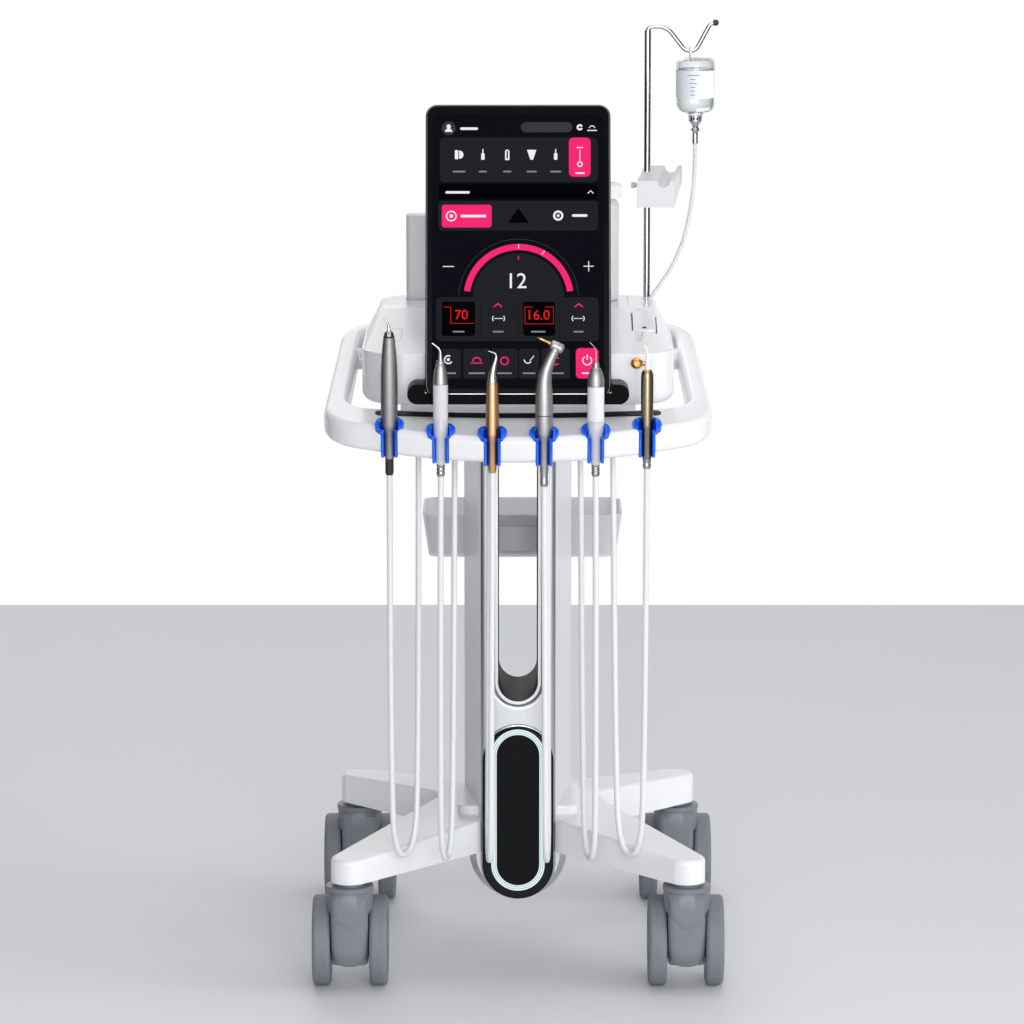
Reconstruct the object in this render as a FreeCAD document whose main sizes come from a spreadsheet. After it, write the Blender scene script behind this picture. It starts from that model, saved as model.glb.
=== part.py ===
import FreeCAD, Part
import math
import os
import re

import Sketcher

# Mobile dental treatment cart, millimetres, +Z up, front towards -Y.
# The origin is on the floor under the middle of the caster footprint.

Vector = FreeCAD.Vector
UP = Vector(0, 0, 1)
TOOLS = ("scaler", "syringe", "plugger", "contra", "injector", "laser")
CORNERS = {"fl": (-1, "-swivel_front"), "fr": (1, "-swivel_front"),
           "rl": (-1, "swivel_rear"), "rr": (1, "swivel_rear")}

SIZES = {
    # Casters
    "swivel_x": 185.5, "swivel_front": 207, "swivel_rear": 163, "caster_trail": 22,
    "wheel_radius": 50, "wheel_width": 20, "wheel_spacing": 43, "wheel_hub_radius": 33, "hub_dish": 2,
    "wheel_round": 5, "axle_radius": 6, "yoke_width": 41, "yoke_reach": 24, "yoke_low": 30,
    "yoke_heel": 16, "skirt_radius": 25.5, "skirt_top": 119, "skirt_front_low": 84.5, "skirt_back_low": 108,
    "neck_radius": 16, "swivel_gap": 0.3, "stem_radius": 7, "stem_socket": 18, "stem_engage": 30,
    "running_clearance": 0.05, "cut_margin": 1,
    # Base, with the angles where each round nose meets its arm's sides
    "arm_underside": 123, "arm_tip_top": 151, "arm_apex_y": 60, "hub_top": 167.5,
    "nose_radius": 20.5, "front_nose_inner": 225.6, "front_nose_outer": 25.8, "rear_nose_outer": -41.4,
    "rear_nose_back": 53.1, "rear_nose_inner": 134.4,
    "front_crotch": 80, "crotch_half": 40, "side_crotch_x": 85, "side_crotch_y": 38, "rear_crotch": 84,
    "side_crotch_round": 30, "arm_edge_round": 5, "collar_half": 68, "collar_front": 58,
    "collar_back": 60, "collar_top": 171, "collar_corner": 12, "collar_round": 3,
    # Column
    "column_front": 84, "frame_back": 66, "column_back": 46, "column_bottom": 68, "column_top": 600,
    "frame_half": 42, "core_front_half": 43, "core_back_half": 61, "frame_round": 6,
    "foot_half": 55, "foot_low": 62, "foot_face_half": 47, "foot_face_low": 70, "foot_slope": 16,
    "slot_half": 25.5, "slot_bottom": 293, "slot_top": 585, "slot_round": 5, "liner_wall": 4,
    "bezel_half": 40, "bezel_bottom": 70, "bezel_top": 268, "bezel_seat": 4, "bezel_proud": 4,
    "bezel_round": 2.5, "halo_half": 30, "halo_bottom": 80, "halo_top": 266, "halo_width": 6,
    "halo_seat": 3, "halo_proud": 0.6, "panel_set_back": 0.5,
    "bay_half": 34, "bay_front": 58, "bay_bottom": 192, "bay_top": 285, "supply_margin": 6,
    # Rear socket panel
    "sockets_rim": 6, "sockets_plate": 4, "inlet_z": 264, "inlet_half_x": 15, "inlet_half_z": 11,
    "inlet_depth": 10, "inlet_wall": 3, "inlet_pin_pitch": 7, "inlet_pin_half_x": 1, "inlet_pin_half_z": 2,
    "inlet_pin_length": 7, "jack_x": 20, "jack_z": 208, "jack_radius": 9, "jack_bore": 5, "jack_depth": 9,
    "earth_radius": 3, "earth_length": 16, "earth_collar": 6, "earth_collar_depth": 3,
    "switch_z": 236, "switch_half_x": 10, "switch_half_z": 6.5, "rocker_gap_x": 0.3, "rocker_gap_z": 1,
    "rocker_pin_radius": 1.2, "rocker_pin_length": 2, "rocker_proud": 2, "rocker_dip": 1.2,
    # Bin
    "bin_x": 5, "bin_half": 114, "bin_front": 53, "bin_depth": 113, "bin_top": 484, "bin_height": 50,
    "bin_taper": 7, "bin_corner": 16, "bin_wall": 2.5, "rail_half": 40, "rail_height": 28, "rail_drop": 12,
    "rail_gap": 0.2, "bin_flange_half": 36, "bin_flange": 4,
    # Console ring, drawn flat and tilted up towards the rear
    "ring_front": 222, "ring_z": 605, "ring_tilt": 11.6, "ring_thickness": 30, "bow_radius": 380,
    "bow_half": 160, "ring_shoulder_x": 215, "ring_shoulder_w": 58, "ring_rear_x": 198.5,
    "ring_rear_w": 378.5, "ring_front_round": 58, "ring_rear_round": 60, "grip_front_x": 188,
    "grip_front_w": 103, "grip_bow_radius": 900, "grip_rear_x": 177.5, "grip_rear_w": 352.5, "grip_round": 30,
    "ring_edge_round": 8, "strip_half": 154, "strip_w": 72.5, "strip_bow_radius": 1300, "strip_width": 10,
    "strip_seat": 1, "strip_proud": 0.6,
    # Clips in the notches of the front bar
    "clip_set_back": 9, "clip_radius": 9.2, "clip_bore": 6, "clip_low": 34, "cup_radius": 15,
    "cup_inner": 12.2, "cup_top": 7.5, "cup_mouth": 10.4, "cup_lip": 1.4, "cup_high": 2, "cup_low": 5,
    "cup_foot": 10, "seat_radius": 8.4, "seat_high": 3.6, "seat_low": 7.3, "clip_slit": 5.8,
    "clip_mouth_half": 9.8, "clip_back_half": 6, "notch_depth": 15.5, "cup_clearance": 0.4, "seat_gap": 0.2,
    # Handpieces, heights from the deck at each clip
    "neck_low": 36, "grip_neck": 5.6, "hose_radius": 3.25, "plug_radius": 4.6, "plug_step": 3,
    "boot_taper": 0.8, "body_start": 2, "hose_gap": 0.2, "tip_collar": 6,
    "head_rise": 26, "head_radius": 5.4, "head_length": 15, "head_behind": 7.5, "knuckle_radius": 5.9,
    "bur_radius": 0.8, "bur_length": 15, "bur_engage": 1,
    # Console pan, housing and hood
    "pan_half": 130, "pan_front": 116, "pan_back": 70, "pan_corner": 20, "gland_radius": 7, "gland_drop": 10,
    "gland_y": -100,
    "housing_half": 172, "housing_front": 131, "housing_back": 98, "housing_bottom": 640, "seam_z": 698,
    "housing_front_corner": 45, "housing_back_corner": 30, "housing_wall": 3, "housing_round": 12,
    "boss_radius": 12, "boss_y": 60, "boss_half": 190, "boss_root": 160,
    "hood_inset": 2, "hood_top": 731.5, "hood_top_half": 157, "hood_top_front": 12, "hood_top_back": 96,
    "hood_top_corner": 30, "hood_wall": 3.5, "hood_round": 8,
    # Pump door and pump on the right of the hood
    "door_x": 140, "door_half": 12.5, "door_hinge_y": -22, "door_length": 50, "door_thickness": 3.5,
    "door_proud": 1, "door_gap": 0.5, "door_hinge_room": 1.4, "door_pin_radius": 1, "door_pin_inset": 2,
    "door_pin_length": 2, "pump_y": -48, "pump_half_x": 15, "pump_half_y": 18, "pump_top": 698,
    "rotor_radius": 10.5, "rotor_height": 10, "rotor_gap": 0.2, "spindle_radius": 2, "roller_notch": 4,
    # Flow valve on the housing front
    "valve_x": 130, "valve_z": 688, "valve_radius": 6.2, "valve_depth": 8, "valve_shaft": 3,
    "valve_shaft_length": 9, "valve_gap": 0.3, "lever_length": 11, "lever_half": 2.6,
    # Screen and its cradle
    "hinge_y": -152, "hinge_z": 658, "screen_lean": 17, "screen_half": 101.5, "screen_length": 325,
    "screen_foot": 6, "screen_thickness": 12, "screen_corner": 13, "case_round": 1.5, "glass_margin": 1.8,
    "glass_depth": 1.2, "glass_gap": 0.05, "hinge_pin_radius": 2, "hinge_pin_engage": 12,
    "cradle_half": 121, "cradle_bottom": 648, "cradle_height": 22, "cradle_front": 168,
    "cradle_floor": 2, "cradle_lip": 4, "cradle_lip_height": 12, "cheek_gap": 0.5,
    # Pole, bracket, drip bottle
    "pole_x": 146, "pole_y": 78, "pole_radius": 3.75, "pole_length": 388, "arm_radius": 2.5,
    "arm_rise": 4, "arm_root": 8, "arm_knee_x": 167, "hook_x": 194, "hook_half": 6, "hook_drop": 27,
    "arm_tip_x": 216, "arm_tip_rise": 3, "arm_end_x": 222, "arm_end_rise": 1.25, "arm_ball": 3.2,
    "bracket_drop": 202, "bracket_height": 30, "bracket_half": 10, "bracket_back": 10, "bracket_front": 17,
    "plate_left": 134, "plate_right": 176, "plate_thickness": 5, "plate_notch": 8, "plate_notch_depth": 7,
    "wing_right": 187, "wing_rise": 14, "wing_thickness": 5, "bracket_screw_radius": 3.5,
    "bracket_screw_length": 8,
    "bottle_x": 200, "bottle_radius": 21.8, "bottle_drop": 8, "bottle_height": 65, "bottle_neck": 9,
    "neck_height": 3, "shoulder_height": 8, "bottle_crown": 12, "crown_height": 6, "hanger_bore": 5.2,
    "hanger_rim": 3, "hanger_width": 4, "hanger_gap": 0.35,
    "connector_length": 32, "connector_radius": 7.5, "connector_cap": 8, "connector_waist": 3.5,
    "connector_nut": 5.2, "connector_nut_low": 12, "connector_nut_height": 8,
    "drip_radius": 2.25, "drip_inlet_x": 146, "drip_inlet_y": 56,
    # Tank and bottle standing on the hood
    "tank_left": 126, "tank_right": 42, "tank_front": 48, "tank_back": 74, "tank_height": 96.5,
    "tank_round": 5, "jar_x": 88, "jar_y": 58, "jar_radius": 26, "jar_height": 116.5, "jar_foot_round": 2,
    "jar_shoulder": 8, "jar_neck": 18, "jar_cap_radius": 29, "jar_cap_height": 15, "jar_cap_round": 2,
}

# Each handpiece: place across the bar, body radius, nose radius, and heights of body, nose and plug end
HANDPIECES = {
    "scaler": (-140, 9.2, 5.3, 58, 101, -54, -110),
    "syringe": (-84, 8.1, 4.0, 52, 78, -49, -70),
    "plugger": (-28, 7.3, 5.0, 58, 64, -42, -31),
    "contra": (28, 9.6, 7.2, 24, 55, -57, 32),
    "injector": (84, 9.2, 3.6, 50, 77, -49, 69),
    "laser": (140, 6.8, 4.6, 55, 62, -47, 105),
}
FIELDS = ("x", "body_radius", "nose_radius", "body_top", "nose_top", "plug_low", "return_x")
for tool, values in HANDPIECES.items():
    SIZES.update({f"{tool}_{field}": value for field, value in zip(FIELDS, values)})

# The two low points of each hanging hose loop, chosen by eye from the photograph
LOOPS = {
    "scaler": (Vector(-140, -200, 146), Vector(-110, -168, 148)),
    "syringe": (Vector(-86, -208, 142), Vector(-72, -162, 144)),
    "plugger": (Vector(-30, -214, 141), Vector(-34, -161, 143)),
    "contra": (Vector(30, -214, 141), Vector(34, -161, 143)),
    "injector": (Vector(86, -208, 142), Vector(72, -162, 144)),
    "laser": (Vector(139, -200, 146), Vector(108, -168, 148)),
}
# The drip tube between its two ends
DRIP_ROUTE = (Vector(200, 78, 872), Vector(196, 76, 834), Vector(188, 72, 797),
              Vector(174, 66, 766), Vector(158, 59, 744))
# Bent working tips, from the top of the nose: points across, forward and up
TIP_PATHS = {
    "scaler": (1.1, ((0, 0, 0), (0, 0, 8), (-4, 0, 17), (-10, 0, 22), (-17, 0, 24))),
    "syringe": (1.6, ((0, 0, 0), (0, 0, 7), (-2, 0, 13), (-6, 0, 19))),
    "plugger": (1.5, ((0, 0, 0), (0, 0, 12), (2.5, 0, 19), (-3, 0, 26))),
    "contra": (5.2, ((0, 0, 0), (0, 0, 14), (3, 0, 24), (7.5, 0, 33), (13.5, 0, 41))),
    "injector": (0.7, ((0, 0, 0), (0, 0, 22))),
    "laser": (1.9, ((0, 0, 0), (0, 0, 14), (-0.5, 0, 20), (-3.5, 0, 27))),
}
RUN_SHARE = 0.45
TOLERANCE = 1e-3
ANGLE_TOLERANCE = 1e-6

doc = FreeCAD.newDocument("DentalCart")
sheet = doc.addObject("Spreadsheet::Sheet", "Dims")
for row, (alias, value) in enumerate(SIZES.items(), 1):
    sheet.set(f"A{row}", alias)
    sheet.set(f"B{row}", str(value))
    sheet.setAlias(f"B{row}", alias)
doc.recompute()


def ref(expression):
    """The expression with each size name pointed at the sheet."""
    return re.sub(r"[A-Za-z_]\w*", lambda word: prefixed(word.group()), expression)


def prefixed(word):
    return f"Dims.{word}" if word in SIZES else word


def size(expression):
    """The value of an expression of the sheet's names."""
    return float(sheet.evalExpression(expression))


def bind(item, **properties):
    """Bind properties to expressions; a double underscore stands for a dot."""
    for name, expression in properties.items():
        item.setExpression(name.replace("__", "."), ref(expression))


def place(item, x="0", y="0", z="0"):
    bind(item, Placement__Base__x=x, Placement__Base__y=y, Placement__Base__z=z)
    return item


def tilt(item, x, y, z, angle):
    """Put a body at a point and tilt it about X, its far side up for a positive angle."""
    axis = Vector(math.copysign(1, size(angle)), 0, 0)
    item.Placement = FreeCAD.Placement(Vector(), FreeCAD.Rotation(axis, abs(size(angle))))
    item.setExpression("Placement.Rotation.Angle", f"abs({ref(angle)}) * 1 deg")
    return place(item, x, y, z)


def piece(name):
    body = doc.addObject("PartDesign::Body", name)
    body.Label = name
    return body


# Sketches

def arc_between(start, stop, radius):
    """The lesser arc from start to stop, to the right of the way, or to the left for a negative radius."""
    chord = stop - start
    side = Vector(chord.y, -chord.x, 0).normalize() * math.copysign(1, radius)
    half = chord.Length / 2
    rise = abs(radius) - math.sqrt(max(radius ** 2 - half ** 2, 0))
    return Part.Arc(start, (start + stop) / 2 + side * rise, stop)


def pin_point(sketch, geometry, end, x, y):
    for kind, expression in (("DistanceX", x), ("DistanceY", y)):
        index = sketch.addConstraint(Sketcher.Constraint(kind, -1, 1, geometry, end, size(expression)))
        sketch.setExpression(f"Constraints[{index}]", ref(expression))


def set_radius(sketch, geometry, expression):
    index = sketch.addConstraint(Sketcher.Constraint("Radius", geometry, abs(size(expression))))
    sketch.setExpression(f"Constraints[{index}]", f"abs({ref(expression)})")


def add_circle(sketch, x, y, radius):
    centre = Vector(size(x), size(y), 0)
    geometry = sketch.addGeometry(Part.Circle(centre, UP, size(radius)), False)
    pin_point(sketch, geometry, 3, x, y)
    set_radius(sketch, geometry, radius)


def add_outline(sketch, corners):
    """Closed outline, counterclockwise; a corner's third value is the radius of the arc leaving it."""
    points = [Vector(size(corner[0]), size(corner[1]), 0) for corner in corners]
    sides = []
    for corner, start, stop in zip(corners, points, points[1:] + points[:1]):
        if len(corner) == 3:
            radius = size(corner[2])
            geometry = sketch.addGeometry(arc_between(start, stop, radius), False)
            sides.append((geometry, 1, 2) if radius > 0 else (geometry, 2, 1))
        else:
            sides.append((sketch.addGeometry(Part.LineSegment(start, stop), False), 1, 2))
    for side, following in zip(sides, sides[1:] + sides[:1]):
        sketch.addConstraint(Sketcher.Constraint("Coincident", side[0], side[2], following[0], following[1]))
    for corner, side in zip(corners, sides):
        pin_point(sketch, side[0], side[1], corner[0], corner[1])
        if len(corner) == 3:
            set_radius(sketch, side[0], corner[2])


def draw(body, plane, outlines, x="0", y="0", z="0"):
    """A sketch on one of the body's own planes, moved to x, y, z."""
    sketch = body.newObject("Sketcher::SketchObject", f"{body.Name}_sketch")
    origin = [item for item in body.Origin.OriginFeatures if item.Role == f"{plane}_Plane"][0]
    sketch.AttachmentSupport = [(origin, "")]
    sketch.MapMode = "FlatFace"
    offset = {"XY": (x, y, z), "XZ": (x, z, f"-({y})"), "YZ": (y, z, x)}[plane]
    for axis, expression in zip("xyz", offset):
        sketch.setExpression(f"AttachmentOffset.Base.{axis}", ref(expression))
    for outline in outlines:
        if outline[0] == "circle":
            add_circle(sketch, *outline[1:])
        else:
            add_outline(sketch, outline)
    return sketch


def extrude(body, plane, outlines, low, high, cut=False):
    """A pad or pocket of flat outlines between two levels of the plane's own axis."""
    level = {"XY": {"z": low}, "XZ": {"y": high}, "YZ": {"x": low}}[plane]
    sketch = draw(body, plane, outlines, **level)
    feature = body.newObject("PartDesign::Pocket" if cut else "PartDesign::Pad", f"{body.Name}_extrude")
    feature.Profile = sketch
    feature.Reversed = cut
    bind(feature, Length=f"({high}) - ({low})")
    return body


def turn(body, corners, x, y, z, plane="XZ", axis="V_Axis", cut=False):
    """A turned solid or groove about the sketch's own axis through x, y, z."""
    sketch = draw(body, plane, [corners], x, y, z)
    feature = body.newObject("PartDesign::Groove" if cut else "PartDesign::Revolution", f"{body.Name}_turn")
    feature.Profile = sketch
    feature.ReferenceAxis = (sketch, [axis])
    feature.Angle = 360
    return body


def loft(body, plane, sections, cut=False):
    """A ruled loft through outlines at several levels."""
    axis = {"XY": "z", "XZ": "y", "YZ": "x"}[plane]
    sketches = [draw(body, plane, [outline], **{axis: level}) for level, outline in sections]
    kind = "PartDesign::SubtractiveLoft" if cut else "PartDesign::AdditiveLoft"
    feature = body.newObject(kind, f"{body.Name}_loft")
    feature.Profile = sketches[0]
    feature.Sections = sketches[1:]
    feature.Ruled = True
    return body


def soften(body, radius, wanted):
    """Round the edges of the body that a test picks out."""
    doc.recompute()
    base = body.Tip
    names = [f"Edge{number}" for number, edge in enumerate(base.Shape.Edges, 1) if wanted(edge)]
    feature = body.newObject("PartDesign::Fillet", f"{body.Name}_round")
    feature.Base = (base, names)
    bind(feature, Radius=radius)
    return body


def along(axis):
    """A test for open edges that start out parallel to an axis."""
    def test(edge):
        way = edge.tangentAt(edge.FirstParameter)
        return len(edge.Vertexes) == 2 and abs(abs(way.dot(axis)) - 1) < ANGLE_TOLERANCE
    return test


def at_level(axis, level, also=lambda point: True):
    """A test for edges that lie in one level plane."""
    def test(edge):
        box = edge.BoundBox
        low, high = {"x": (box.XMin, box.XMax), "y": (box.YMin, box.YMax), "z": (box.ZMin, box.ZMax)}[axis]
        middle = edge.valueAt((edge.FirstParameter + edge.LastParameter) / 2)
        return max(abs(low - level), abs(high - level)) < TOLERANCE and also(middle)
    return test


def rectangle(left, low, right, high):
    return [(left, low), (right, low), (right, high), (left, high)]


def rounded(left, low, right, high, low_radius, high_radius):
    """A rectangle with quarter round corners, one radius at the low side and one at the high side."""
    return [(f"{left} + {low_radius}", low), (f"{right} - {low_radius}", low, low_radius),
            (right, f"{low} + {low_radius}"), (right, f"{high} - {high_radius}", high_radius),
            (f"{right} - {high_radius}", high), (f"{left} + {high_radius}", high, high_radius),
            (left, f"{high} - {high_radius}"), (left, f"{low} + {low_radius}", low_radius)]


def stadium(half, low, high):
    """An upright oblong with half round ends, drawn in quarters."""
    return [(half, f"{low} + {half}"), (half, f"{high} - {half}", half), ("0", high, half),
            (f"-{half}", f"{high} - {half}"), (f"-{half}", f"{low} + {half}", half), ("0", low, half)]


def round_foot(half, low, high):
    """An upright outline with a half round foot and a square head."""
    return [(half, f"{low} + {half}"), (half, high), (f"-{half}", high),
            (f"-{half}", f"{low} + {half}", half), ("0", low, half)]


# Plain solids and booleans

def block(name, x, y, z):
    """A box between pairs of expressions."""
    item = doc.addObject("Part::Box", name)
    spans = [f"({high}) - ({low})" for low, high in (x, y, z)]
    bind(item, Length=spans[0], Width=spans[1], Height=spans[2])
    return place(item, x[0], y[0], z[0])


def rod(name, axis, x, y, z, radius, length):
    """A cylinder from a point along an axis."""
    item = doc.addObject("Part::Cylinder", name)
    item.Placement = FreeCAD.Placement(Vector(), FreeCAD.Rotation(UP, axis))
    bind(item, Radius=radius, Height=length)
    return place(item, x, y, z)


def join(name, items):
    item = doc.addObject("Part::MultiFuse", name)
    item.Shapes = items
    return item


def cut(name, base, tools):
    item = doc.addObject("Part::Cut", name)
    item.Base = base
    item.Tool = tools[0] if len(tools) == 1 else join(f"{name}_tools", tools)
    return item


def group(name, items):
    item = doc.addObject("Part::Compound", name)
    item.Links = items
    return item


X_AXIS = Vector(1, 0, 0)
Y_AXIS = Vector(0, 1, 0)


# Bent rods and hoses

def rounded_path(points):
    """Straight runs joined by tangent arcs, each as large as its two runs allow, and the arcs' radii."""
    edges = []
    radii = []
    start = points[0]
    for before, corner, after in zip(points, points[1:], points[2:]):
        reach = RUN_SHARE * min((before - corner).Length, (after - corner).Length)
        back = (before - corner).normalize()
        ahead = (after - corner).normalize()
        half = back.getAngle(ahead) / 2
        radius = reach * math.tan(half)
        inward = (back + ahead).normalize()
        middle = corner + inward * (reach / math.cos(half) - radius)
        entry = corner + back * reach
        leave = corner + ahead * reach
        edges.append(Part.LineSegment(start, entry).toShape())
        edges.append(Part.Arc(entry, middle, leave).toShape())
        radii.append(radius)
        start = leave
    edges.append(Part.LineSegment(start, points[-1]).toShape())
    return Part.Wire(edges), radii


def bent_rod(points, radius):
    path = rounded_path(points)[0]
    section = Part.Wire(Part.Circle(points[0], points[1] - points[0], radius).toShape())
    return path.makePipeShell([section], True, False)


def solid(name, shape):
    item = doc.addObject("Part::Feature", name)
    item.Shape = shape
    item.Placement = FreeCAD.Placement()
    return item


def hose(name, points, radius):
    """A limp hose along a route, with its arcs and its volume printed."""
    path, radii = rounded_path(points)
    shape = bent_rod(points, radius)
    expected = math.pi * radius ** 2 * path.Length
    arcs = ", ".join(f"{value:.1f}" for value in radii)
    share = shape.Volume / expected
    print(f"{name}: length {path.Length:.0f}, arcs {arcs}, volume {share:.4f} of the tube's")
    return solid(name, shape)


# Casters

def caster_yoke(corner):
    side, y = CORNERS[corner]
    x = f"({side} * swivel_x)"
    body = piece(f"caster_yoke_{corner}")
    fork = [("-yoke_reach", "skirt_back_low"), ("-yoke_reach", "wheel_radius + yoke_heel"),
            ("-yoke_reach / 2", "yoke_low"), ("caster_trail + yoke_heel / 2", "yoke_low"),
            ("caster_trail + yoke_heel", "wheel_radius"), ("yoke_reach", "skirt_back_low")]
    extrude(body, "YZ", [fork], "-yoke_width / 2", "yoke_width / 2")
    flank = size("yoke_width / 2")
    soften(body, "wheel_round", lambda edge: abs(abs(edge.CenterOfMass.x) - flank) < TOLERANCE)
    extrude(body, "XY", [("circle", "0", "0", "skirt_radius")], "skirt_front_low", "skirt_top")
    reach = "(skirt_radius + cut_margin)"
    under = [(f"-{reach}", "skirt_front_low - cut_margin"), (reach, "skirt_front_low - cut_margin"),
             (reach, "skirt_back_low"), (f"-{reach}", "skirt_front_low")]
    for low, high in ((f"-{reach}", "-yoke_width / 2"), ("yoke_width / 2", reach)):
        extrude(body, "YZ", [under], low, high, cut=True)
    extrude(body, "XY", [("circle", "0", "0", "neck_radius")], "skirt_top", "arm_underside - swivel_gap")
    extrude(body, "XY", [("circle", "0", "0", "stem_radius + running_clearance")],
            "arm_underside - stem_engage - cut_margin", "arm_underside", cut=True)
    bore = ("circle", "caster_trail", "wheel_radius", "axle_radius + running_clearance")
    extrude(body, "YZ", [bore], "-yoke_width", "yoke_width", cut=True)
    return place(body, x, y)


def caster_wheels(corner):
    """Two wheels and their axle as one turned piece."""
    side, y = CORNERS[corner]
    inner = "wheel_spacing / 2"
    outer = "(wheel_spacing / 2 + wheel_width)"
    right = [(outer, "0"), (outer, "wheel_hub_radius / 3"),
             (f"{outer} - hub_dish", "wheel_hub_radius / 3 + hub_dish"),
             (f"{outer} - hub_dish", "wheel_hub_radius"), (outer, "wheel_hub_radius + hub_dish"),
             (outer, "wheel_radius - wheel_round", "wheel_round"), (f"{outer} - wheel_round", "wheel_radius"),
             (f"{inner} + wheel_round", "wheel_radius", "wheel_round"),
             (inner, "wheel_radius - wheel_round"), (inner, "axle_radius")]
    left = [(f"-{inner}", "axle_radius"), (f"-{inner}", "wheel_radius - wheel_round", "wheel_round"),
            (f"-{inner} - wheel_round", "wheel_radius"),
            (f"-{outer} + wheel_round", "wheel_radius", "wheel_round"),
            (f"-{outer}", "wheel_radius - wheel_round"), (f"-{outer}", "wheel_hub_radius + hub_dish"),
            (f"-{outer} + hub_dish", "wheel_hub_radius"),
            (f"-{outer} + hub_dish", "wheel_hub_radius / 3 + hub_dish"),
            (f"-{outer}", "wheel_hub_radius / 3"), (f"-{outer}", "0")]
    body = turn(piece(f"caster_wheels_{corner}"), right + left, "0", "caster_trail", "wheel_radius",
                axis="H_Axis")
    return place(body, f"{side} * swivel_x", y)


def caster_stems():
    stems = [rod(f"stem_{corner}", UP, f"{side} * swivel_x", y, "arm_underside - stem_engage",
                 "stem_radius", "stem_engage + stem_socket") for corner, (side, y) in CORNERS.items()]
    return group("caster_stems", stems)


# Base and column

def nose_at(y, angle):
    """The point of the right-hand nose at an angle from +X."""
    return f"swivel_x + nose_radius * cos({angle})", f"{y} + nose_radius * sin({angle})"


def base_frame(column_parts):
    """Four sloping arms from a hub, with round noses over the casters, cut to fit the column."""
    body = piece("base_body")
    front = "-swivel_front"
    rear = "swivel_rear"
    right = [("crotch_half", "-front_crotch"), (*nose_at(front, "front_nose_inner"), "nose_radius"),
             ("swivel_x + nose_radius", front, "nose_radius"), nose_at(front, "front_nose_outer"),
             ("side_crotch_x", "side_crotch_y"), (*nose_at(rear, "rear_nose_outer"), "nose_radius"),
             (*nose_at(rear, "rear_nose_back"), "nose_radius"), nose_at(rear, "rear_nose_inner"),
             ("crotch_half", "rear_crotch")]
    mirrored = [(f"-({x})", y) for x, y in [corner[:2] for corner in reversed(right)]]
    arcs = [len(corner) == 3 for corner in right]
    left = []
    for index, corner in enumerate(mirrored):
        follows_arc = index < len(right) - 1 and arcs[len(right) - 2 - index]
        left.append((*corner, "nose_radius") if follows_arc else corner)
    extrude(body, "XY", [right + left], "arm_underside", "hub_top")
    crotch = size("side_crotch_x")
    soften(body, "side_crotch_round",
           lambda edge: along(UP)(edge) and abs(abs(edge.CenterOfMass.x) - crotch) < TOLERANCE)
    reach = "(2 * swivel_x)"
    fall = "(hub_top - arm_tip_top) / sqrt(swivel_x ^ 2 + (swivel_front + arm_apex_y) ^ 2)"
    above = [("0", "hub_top"), (reach, f"hub_top - {reach} * {fall}"), (reach, "hub_top + stem_socket"),
             ("0", "hub_top + stem_socket")]
    turn(body, above, "0", "arm_apex_y", "0", cut=True)
    for side, y in CORNERS.values():
        extrude(body, "XY", [("circle", f"{side} * swivel_x", y, "stem_radius")],
                "arm_underside", "arm_underside + stem_socket", cut=True)
    above_sockets = size("arm_underside + stem_socket + cut_margin")
    soften(body, "arm_edge_round", lambda edge: edge.BoundBox.ZMin > above_sockets)
    collar = rounded("-collar_half", "-collar_front", "collar_half", "collar_back", "collar_corner",
                     "collar_corner")
    extrude(body, "XY", [collar], "arm_underside", "collar_top")
    soften(body, "collar_round", at_level("z", size("collar_top")))
    return cut("base_frame", body, [join("column_hull", column_parts)])


def slot_outline(grow="0"):
    return stadium(f"(slot_half - {grow})", f"(slot_bottom + {grow})", f"(slot_top - {grow})")


def core_outside(name):
    front = round_foot("core_front_half", "column_bottom", "column_top")
    back = round_foot("core_back_half", "column_bottom", "column_top")
    return loft(piece(name), "XZ", [("-frame_back", front), ("column_back", back)])


def frame_outside(name):
    return extrude(piece(name), "XZ", [round_foot("frame_half", "column_bottom", "column_top")],
                   "-column_front", "-frame_back")


# The rail on the back of the column that the bin hangs on
RAIL_TOP = "(bin_top - rail_drop)"


def column_core():
    body = core_outside("column_core")
    bowl = round_foot("foot_half", "foot_low", "arm_underside")
    loft(body, "XZ", [("-frame_back", round_foot("foot_face_half", "foot_face_low", "arm_underside")),
                      ("-frame_back + foot_slope", bowl), ("column_back", bowl)])
    extrude(body, "XZ", [slot_outline()], "-frame_back", "column_back", cut=True)
    bay = rectangle("-bay_half", "bay_bottom", "bay_half", "bay_top")
    extrude(body, "XZ", [bay], "-bay_front", "column_back", cut=True)
    rail = rectangle("bin_x - rail_half", f"{RAIL_TOP} - rail_height", "bin_x + rail_half", RAIL_TOP)
    return extrude(body, "XZ", [rail], "column_back", "bin_front - rail_gap")


def column_hulls():
    """The column's outside, as a tool for the base."""
    return [core_outside("core_hull"), frame_outside("frame_hull")]


def column_front():
    body = frame_outside("column_front")
    face = size("-column_front")
    soften(body, "frame_round", at_level("y", face))
    extrude(body, "XZ", [slot_outline()], "-column_front", "-frame_back", cut=True)
    slot = size("slot_half") + TOLERANCE
    soften(body, "slot_round", at_level("y", face, lambda point: abs(point.x) < slot))
    seat = stadium("bezel_half", "bezel_bottom", "bezel_top")
    return extrude(body, "XZ", [seat], "-column_front", "-column_front + bezel_seat", cut=True)


def slot_liner():
    return extrude(piece("slot_liner"), "XZ", [slot_outline(), slot_outline("liner_wall")],
                   "-column_front + slot_round", "column_back")


BEZEL_FACE = "(-column_front - bezel_proud)"


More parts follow.
